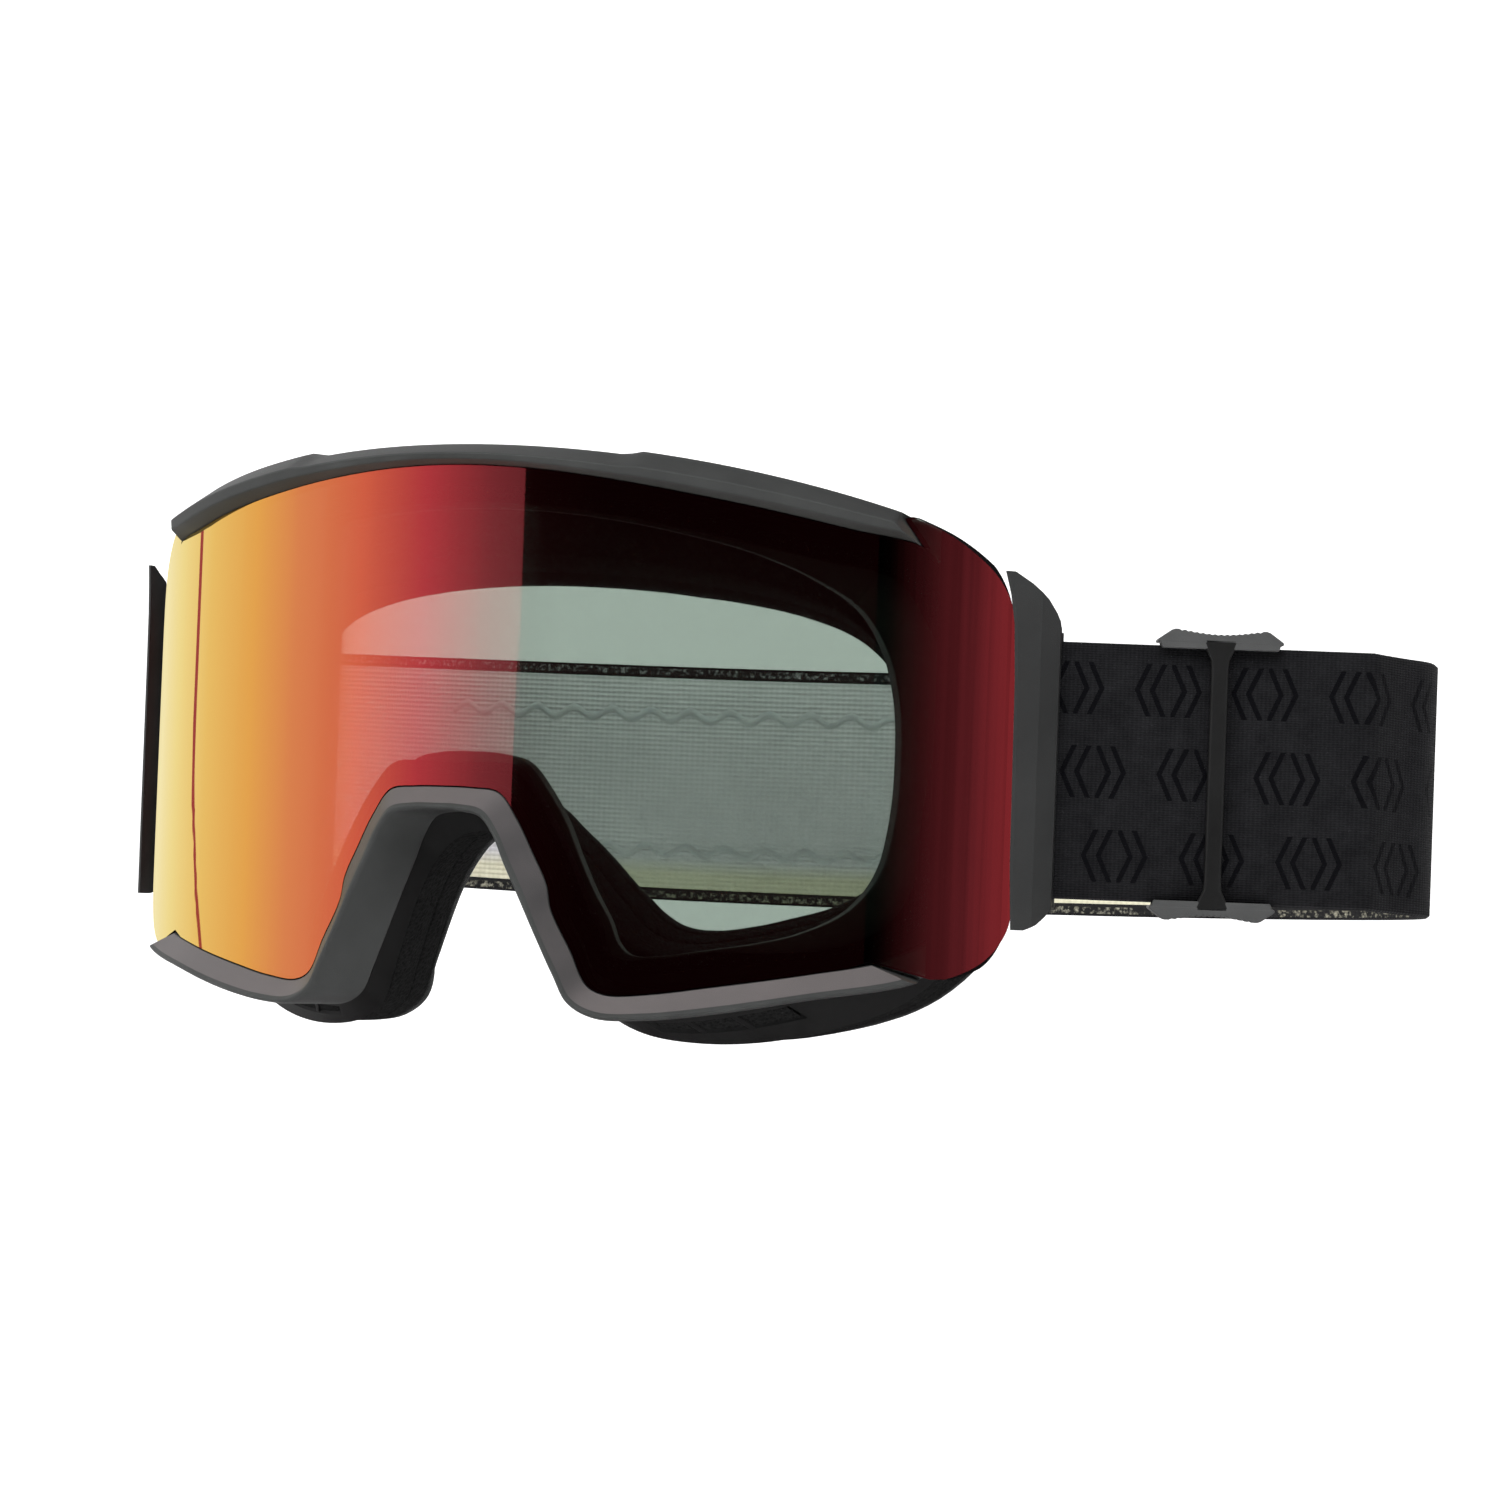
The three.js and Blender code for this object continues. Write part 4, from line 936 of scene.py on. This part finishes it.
def swell(obj):
    """Blows a closed piece up as cloth, with its glued points held, and keeps the result."""
    rest = np.array([v.co[:] for v in obj.data.vertices])
    modifier = obj.modifiers.new("swell", "CLOTH")
    for key, value in CLOTH.items():
        setattr(modifier.settings, key, value)
    modifier.settings.effector_weights.gravity = 0
    modifier.point_cache.frame_end = CLOTH_STEPS
    for step in range(1, CLOTH_STEPS + 1):
        bpy.context.scene.frame_set(step)
    blown = obj.evaluated_get(bpy.context.evaluated_depsgraph_get()).data
    moved = np.array([v.co[:] for v in blown.vertices]) - rest
    reach = np.linalg.norm(moved, axis=1)
    share = np.minimum(1, FOAM_SWELL * MM / np.maximum(reach, 1e-9))
    obj.modifiers.remove(modifier)
    bpy.context.scene.frame_set(1)
    obj.data.vertices.foreach_set("co", (rest + moved * share[:, None]).ravel())
    obj.data.update()


def build_foam():
    behind = 0
    layers = [("fleece_facing", "foam_face", 2, FLEECE, "fleece", 1.0, [3]),
              ("soft_foam", "foam_middle", 1, BASE_FOAM, "face_foam", 0.6, [1, 3]),
              ("firm_foam", "foam_base", 0, BASE_FOAM, "face_foam", 0.6, [1, 3])]
    for name, node, index, material, slot, radius, glued in layers:
        ahead = behind + FOAM_LAYERS[index] + (GAP - 0.04 if index else 0)
        ring = foam_ring(name, behind, ahead, radius, glued)
        place(ring, "frame", [material], slot, [node])
        behind += FOAM_LAYERS[index] + GAP


# ---- strap
def bar_centre(side):
    along = Vector((math.sin(SPLAY), math.cos(SPLAY))) * BAR[0]
    out = Vector((math.cos(SPLAY), -math.sin(SPLAY))) * BAR[1]
    p = Vector(PIN) + along + out
    return Vector((side * p.x, p.y))


def on_stretch(side, along, out, z=0.0):
    """A place on a straight stretch, from its bar: along it, and away from the head."""
    aim = Vector(STRAP_AIM[side]).normalized()
    across = Vector((aim.y, -aim.x)) * side
    p = bar_centre(side) + aim * along + across * out
    return Vector((p.x, p.y, STRAP_MIDDLE + z))


def dip(along):
    """How far the strap is pushed in by a slider's bar."""
    return 0.5 * (1 - smoothstep(abs(along - SLIDER_FROM_BAR), 2.0, 6.5))


def strap_front(side):
    """The middle line from the sewn end, round the bar and along the straight stretch."""
    line = [on_stretch(side, along, -STRAP_OUT) for along in spread(RETURN_LENGTH, 0, 7)]
    for i in range(1, 16):
        angle = math.pi * (1 - i / 16)
        line.append(on_stretch(side, -STRAP_OUT * math.sin(angle), STRAP_OUT * math.cos(angle)))
    length = STRAIGHT[side]
    return line + [on_stretch(side, a, STRAP_OUT - dip(a)) for a in spread(0, length, length)]


STRAP_SEAMS = [(112, 80, 0), (-48, 60, 0)]
REAR_POINTS = [
    (144.6, 46.6), (147.2, 53), (144.5, 63), (134, 73), (116, 79.5), (96, 80.5),
    (72, 77.5), (20, 66), (-38, 59), (-76, 65.5), (-97, 75),
]


def strap_rear(count):
    """The middle line of the loop behind the straight stretches, drooping a little."""
    middle = [Vector((x, y, STRAP_MIDDLE)) for x, y in REAR_POINTS]
    points = [on_stretch(1, STRAIGHT[1] + 1.5, STRAP_OUT), *middle,
              on_stretch(-1, STRAIGHT[-1] + 8, STRAP_OUT),
              on_stretch(-1, STRAIGHT[-1] + 1.5, STRAP_OUT)]
    curve = catmull(points, False)
    dense = [curve(s) for s in spread(0, len(points) - 1, 600)]
    run = running_length(dense)
    line = []
    for share in spread(0, 1, count):
        i = min(int(np.searchsorted(run, share * run[-1])), 600)
        droop = STRAP_DROOP * max(math.sin(math.pi * share), 0) ** 0.8
        line.append(dense[i] - Vector((0, 0, droop)))
    return line


def running_length(line):
    return np.cumsum([0] + [(b - a).length for a, b in zip(line, line[1:])])


def nearest(line, place):
    return min(range(len(line)), key=lambda i: (line[i] - Vector(place)).length)


def plan_frames(line):
    """The level outward direction of each point of a line that runs clockwise seen from below."""
    row = [line[0], *line, line[-1]]
    steps = [after - before for before, after in zip(row, row[2:])]
    return [Vector((t.y, -t.x, 0)).normalized() for t in steps]


def strap_section(half_width, half_thick):
    """(height, out) round the strap's section: outside first, then inside."""
    edge = 0.45
    half = [(h, half_thick) for h in spread(-half_width + edge, half_width - edge, 8)]
    half += [(half_width, edge * 0.6), (half_width, -edge * 0.6)]
    return half + [(-h, -out) for h, out in half]


def strap_piece(name, line, outs, runs):
    section = strap_section(STRAP_WIDTH / 2, STRAP_THICK / 2)
    rings, uv = [], []
    for p, out, run in zip(line, outs, runs):
        rings.append([p + out * o + Vector((0, 0, h)) for h, o in section])
        uv += [(run, h) for h, o in section]
    obj = loft(name, rings, uv=uv, sharp=70)
    count = len(section)
    for face in obj.data.polygons:
        places = [i % count for i in face.vertices]
        inner = len(face.vertices) == 4 and min(places) >= 11 and max(places) <= 19
        face.material_index = 1 if inner else 0
    return obj


def build_strap():
    right, left = strap_front(1), strap_front(-1)
    rear = strap_rear(220)
    line = right + rear + left[::-1]
    outs, runs = plan_frames(line), running_length(line)
    seam_right, seam_left = [len(right) + nearest(rear, at) for at in STRAP_SEAMS]
    spans = [
        ("strap_right", 0, seam_right, ["strap_end_right", "strap_rear"]),
        ("strap_middle", seam_right, seam_left, ["strap_rear"]),
        ("strap_left", seam_left, len(line) - 1, ["strap_end_left", "strap_rear"]),
    ]
    for name, first, last, nodes in spans:
        part = slice(first, last + 1)
        obj = strap_piece(name, line[part], outs[part], runs[part])
        body = "frame" if name == "strap_middle" else None
        place(obj, body, [STRAP_OUTSIDE, STRAP_INSIDE], "strap_fabric", nodes)
        if name == "strap_right":
            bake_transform(obj)
        if name == "strap_left":
            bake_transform(obj)
    build_grip(rear)
    build_stitches()


def build_grip(rear):
    """Two wavy beads of silicone on the inside of the loop."""
    outs = plan_frames(rear)
    dense = [(rear[i].lerp(rear[i + 1], k / 3), outs[i].lerp(outs[i + 1], k / 3))
             for i in range(round(0.22 * len(rear)), round(0.78 * len(rear))) for k in range(3)]
    runs = running_length([p for p, out in dense])
    bead = [(-0.7, 0.78), (-0.45, 1.15), (0, 1.3), (0.45, 1.15), (0.7, 0.78)]
    for word, middle in (("upper", 13), ("lower", -13)):
        rings = []
        for (p, out), run in zip(dense, runs):
            height = middle + 0.9 * math.sin(run * 2 * math.pi / 8)
            rings.append([p - out * o + Vector((0, 0, height + h)) for h, o in bead])
        obj = loft("grip_wave_" + word, rings, sharp=80)
        place(obj, "frame", [SILICONE], "silicone", ["grip_strip_" + word])


def build_stitches():
    """Two rows of lock stitches through each sewn end, seen on its inside."""
    out = -STRAP_OUT - STRAP_THICK / 2
    for side in (1, -1):
        away = (on_stretch(side, 0, 1) - on_stretch(side, 0, 0)).normalized()
        aim = Vector(STRAP_AIM[side]).to_3d()
        lofts = []
        for along in (9.5, 12):
            for z in spread(-20, 19.2, 28):
                start = on_stretch(side, along, out, z)
                stop = on_stretch(side, along + 0.1, out, z + 1)
                rings = []
                for share, size in ((0, 0.08), (0.2, 0.2), (0.8, 0.2), (1, 0.08)):
                    p = start.lerp(stop, share) - away * (0.12 * math.sin(math.pi * share))
                    rings.append([p + aim * size, p - away * size, p - aim * size, p + away * size])
                lofts.append(rings)
        obj = loft("stitches_" + WORD[side], *lofts, sharp=90)
        place(obj, "outrigger_" + WORD[side], [THREAD], "strap_fabric")


# ---- sliders
def on_slider(side, along, out, z):
    """A place on a slider, from the middle of its bar."""
    return on_stretch(side, SLIDER_FROM_BAR + along, STRAP_OUT + out, z)


def slider_slab(side, sign, edge, near, far):
    """A slab beyond one edge of the strap, from its outline (along the strap, past its edge)."""
    return [[on_slider(side, a, out, sign * (STRAP_WIDTH / 2 + past)) for a, past in edge]
            for out in (near, far)]


def slider_plate(side, sign):
    """An end plate whose free edge dips in the middle and carries small ridges."""
    end = [(-11, 0.5), (-11, 1), (-8.6, 2.7), (-8, 2.9), (-7.4, 2.9)]
    ridges = 26
    crest = []
    for i in range(ridges + 1):
        share = i / ridges
        top = 2.9 - 0.7 * math.sin(math.pi * share)
        crest.append((-6.8 + 13.6 * share, top - (0 if i % 2 else 0.3)))
    edge = end + crest + [(-a, past) for a, past in reversed(end)]
    return slider_slab(side, sign, edge, -2.7, 2.9)


def slider_lip(side, sign):
    """The front lip of an end plate, which laps over the strap's edge."""
    edge = [(-10.6, 0.9), (-10.2, -0.5), (10.2, -0.5), (10.6, 0.9)]
    return slider_slab(side, sign, edge, 1.3, 2.85)


def slider_bar(side, middle, near, far, flare):
    """A bar across the strap that flares into the end plates."""
    rings = []
    for share in spread(-1, 1, 28):
        wide = BAR_HALF + flare * smoothstep(abs(share), 0.8, 1) ** 1.5
        corners = [(-wide, near), (-wide, far), (wide, far), (wide, near)]
        z = share * (STRAP_WIDTH / 2 + 1)
        points = [on_slider(side, middle + a, out, z) for a, out in corners]
        rings.append(rounded(points, 0.55))
    return rings


def build_sliders():
    for side in (1, -1):
        word = WORD[side]
        shapes = [shape(side, s) for s in (1, -1) for shape in (slider_plate, slider_lip)]
        plates = bevel(loft("slider_plates_" + word, *shapes), 0.28, 2, 50)
        node = ["slider_" + word]
        place(plates, "slider_" + word, [SLIDER_PLASTIC], "slider_nylon", node)
        # The bars take the plates' nylon painted darker: painted shade.
        bars = loft(
            "slider_bars_" + word,
            slider_bar(side, 0, 1.3, 2.9, 1.6),
            slider_bar(side, -8, -2.7, -1.3, 1),
            slider_bar(side, 8, -2.7, -1.3, 1))
        place(bars, "slider_" + word, [BAR_PAINTED_SHADE], "slider_nylon", node)


# ---- carried-over nodes
def dress_nodes():
    """Gives the CAD meshes that are kept their materials and rounded edges."""
    for name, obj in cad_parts.items():
        if obj.hide_render:
            continue
        if name.startswith("outrigger"):
            material, width, segments = OUTRIGGER_PLASTIC, 0.45, 3
            obj.visible_glossy = False
        elif name.startswith("hinge_pin"):
            material, width, segments = STEEL, 0.2, 2
        else:
            material, width, segments = MAGNET, 0.15, 2
        for slot in obj.material_slots:
            slot.link = "OBJECT"
            slot.material = material
        bevel(obj, width, segments, 25)


# ---- floor, light and camera
def stage_material(name, colour, glow):
    s = shader(name)
    tone = s.ramp(s.noise(3, 2), [(0.2, tuple(c * 0.99 for c in colour)), (0.8, colour)])
    return s.principled(tone, 0.9, Emission_Color=tone, Emission_Strength=glow)


def build_floor():
    """A pale floor that curves up into a backdrop behind the goggles."""
    level, back, bend = -165, 1500, 500
    profile = [(-2500, level), (back, level)]
    for i in range(1, 13):
        angle = i / 12 * math.pi / 2
        profile.append((back + bend * math.sin(angle), level + bend * (1 - math.cos(angle))))
    profile.append((back + bend, 3000))
    turn = Matrix.Rotation(math.radians(26), 3, "Z")
    vertices = [turn @ Vector((x, y, z)) for x in (-4000, 4000) for y, z in profile]
    count = len(profile)
    faces = [(i, i + 1, count + i + 1, count + i) for i in range(count - 1)]
    floor = add_mesh("floor", vertices, faces)
    floor.data.materials.append(stage_material("floor_pale", (0.93, 0.93, 0.93), 0.75))
    floor.visible_glossy = False
    floor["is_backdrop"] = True


SEAM = [(-900, 12), (-150, 12), (-90, 10.4), (-40, 4.5), (0, 1), (40, 0), (1500, 0)]


def softbox(name, start, stop, lean=(0, 0), fade=0, streaks=0, power=1.0, colour=(1, 1, 1)):
    """A curved softbox round the goggles, from one compass angle to another.

    lean says how far each of its upright edges follows the slant of the seam. Its glow can rise
    over the first degrees, and can carry upright streaks.
    """
    radius, columns = 1500, 32
    vertices = []
    for height, slant in SEAM:
        for angle in spread(start + lean[0] * slant, stop + lean[1] * slant, columns):
            a = math.radians(angle)
            vertices.append(Vector((math.sin(a) * radius, -math.cos(a) * radius, height)))
    row = columns + 1
    faces = [(row * r + i, row * r + i + 1, row * r + row + i + 1, row * r + row + i)
             for r in range(len(SEAM) - 1) for i in range(columns)]
    obj = add_mesh(name, vertices, faces)
    s = shader(name + "_glow")
    strength = power
    if fade:
        x, y = s.axes(s.where())[:2]
        angle = s.math("ARCTAN2", x, s.times(y, -1))
        first, last = math.radians(start), math.radians(start + fade)
        inputs = {"Value": angle, "From Min": first, "From Max": last}
        rise = s.node("ShaderNodeMapRange", inputs, interpolation_type="SMOOTHSTEP").outputs[0]
        streak = s.noise(7, 6, 0.7, s.stretched((1, 1, 0.05)))
        streak = s.larger(s.level(streak, 1.4 * streaks, -1.2 * streaks), 0)
        strength = s.times(rise, s.minus(power, s.times(streak, power)))
    s.finish(s.node("ShaderNodeEmission", {"Color": (*colour, 1), "Strength": strength}))
    obj.data.materials.append(s.owner)
    for kind in ("camera", "shadow", "transmission", "diffuse"):
        setattr(obj, "visible_" + kind, False)
    obj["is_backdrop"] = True


def area_light(name, place_at, aim, size, power):
    data = bpy.data.lights.new(name, "AREA")
    data.shape = "RECTANGLE"
    data.size, data.size_y = size
    data.energy = power
    obj = add_object(name, data)
    obj.location = place_at
    obj.rotation_euler = (Vector(aim) - Vector(place_at)).to_track_quat("-Z", "Y").to_euler()
    obj.visible_camera = False
    obj.visible_glossy = False


def build_world():
    """White for the camera, dark for reflections, and a faint ambient light for the rest."""
    world = bpy.data.worlds.new("studio")
    bpy.context.scene.world = world
    w = Nodes(world, "ShaderNodeOutputWorld")

    def sky(colour, strength=1.0):
        inputs = {"Color": (*colour, 1), "Strength": strength}
        return w.node("ShaderNodeBackground", inputs).outputs[0]

    path = w.node("ShaderNodeLightPath").outputs
    white = (1, 1, 1)
    unseen = w.node("ShaderNodeMixShader", {
        0: path["Is Glossy Ray"], 1: sky(white, 0.12), 2: sky((0.045, 0.028, 0.034))})
    w.finish(w.node("ShaderNodeMixShader", {
        0: path["Is Camera Ray"], 1: unseen.outputs[0], 2: sky(white)}))


def build_light():
    build_world()
    softbox("softbox_left", -14, -105, (0, 1))
    softbox("softbox_left_rear", -106.4, -150, (1, 0))
    softbox("softbox_seam", -105, -106.4, (1, 1), 0, 0, 0.4, (1.0, 0.2, 0.6))
    softbox("softbox_right", 56, 125, (0, 0), 22, 0.95, 0.62)
    area_light("top_light", (0.15, -0.8, 1.0), (0, 0, 0), (1.4, 1.0), 24)
    area_light("inner_fill", (0.02, 0.055, 0.012), (0.02, 0, 0.0), (0.09, 0.03), 0.1)
    area_light("front_fill", (0.9, -1.5, 0.5), (0, 0, 0), (1.0, 1.0), 0.4)


def build_camera():
    """The camera stands a little to the right of the goggles' front and just below their middle."""
    turn, rise, roll = [math.radians(angle) for angle in (26.2, -1.5, 2.18)]
    data = bpy.data.cameras.new("camera")
    data.lens = 114.1
    data.sensor_width = 36
    data.clip_end = 20
    camera = add_object("camera", data)
    rotation = Matrix.Rotation(turn, 4, "Z") @ Matrix.Rotation(math.pi / 2 - rise, 4, "X")
    rotation = rotation @ Matrix.Rotation(roll, 4, "Z")
    camera.matrix_world = Matrix.Translation((0.41118, -0.75371, -0.02311)) @ rotation
    bpy.context.scene.camera = camera


build_camera()
build_lens()
build_frame()
build_flange()
build_foam()
build_strap()
build_sliders()
dress_nodes()
build_floor()
build_light()
bpy.context.scene.view_settings.view_transform = "Standard"

sizes = {"cad": cad_bounds, "visual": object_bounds()}
sizes = {key: [list(map(float, corner)) for corner in box] for key, box in sizes.items()}
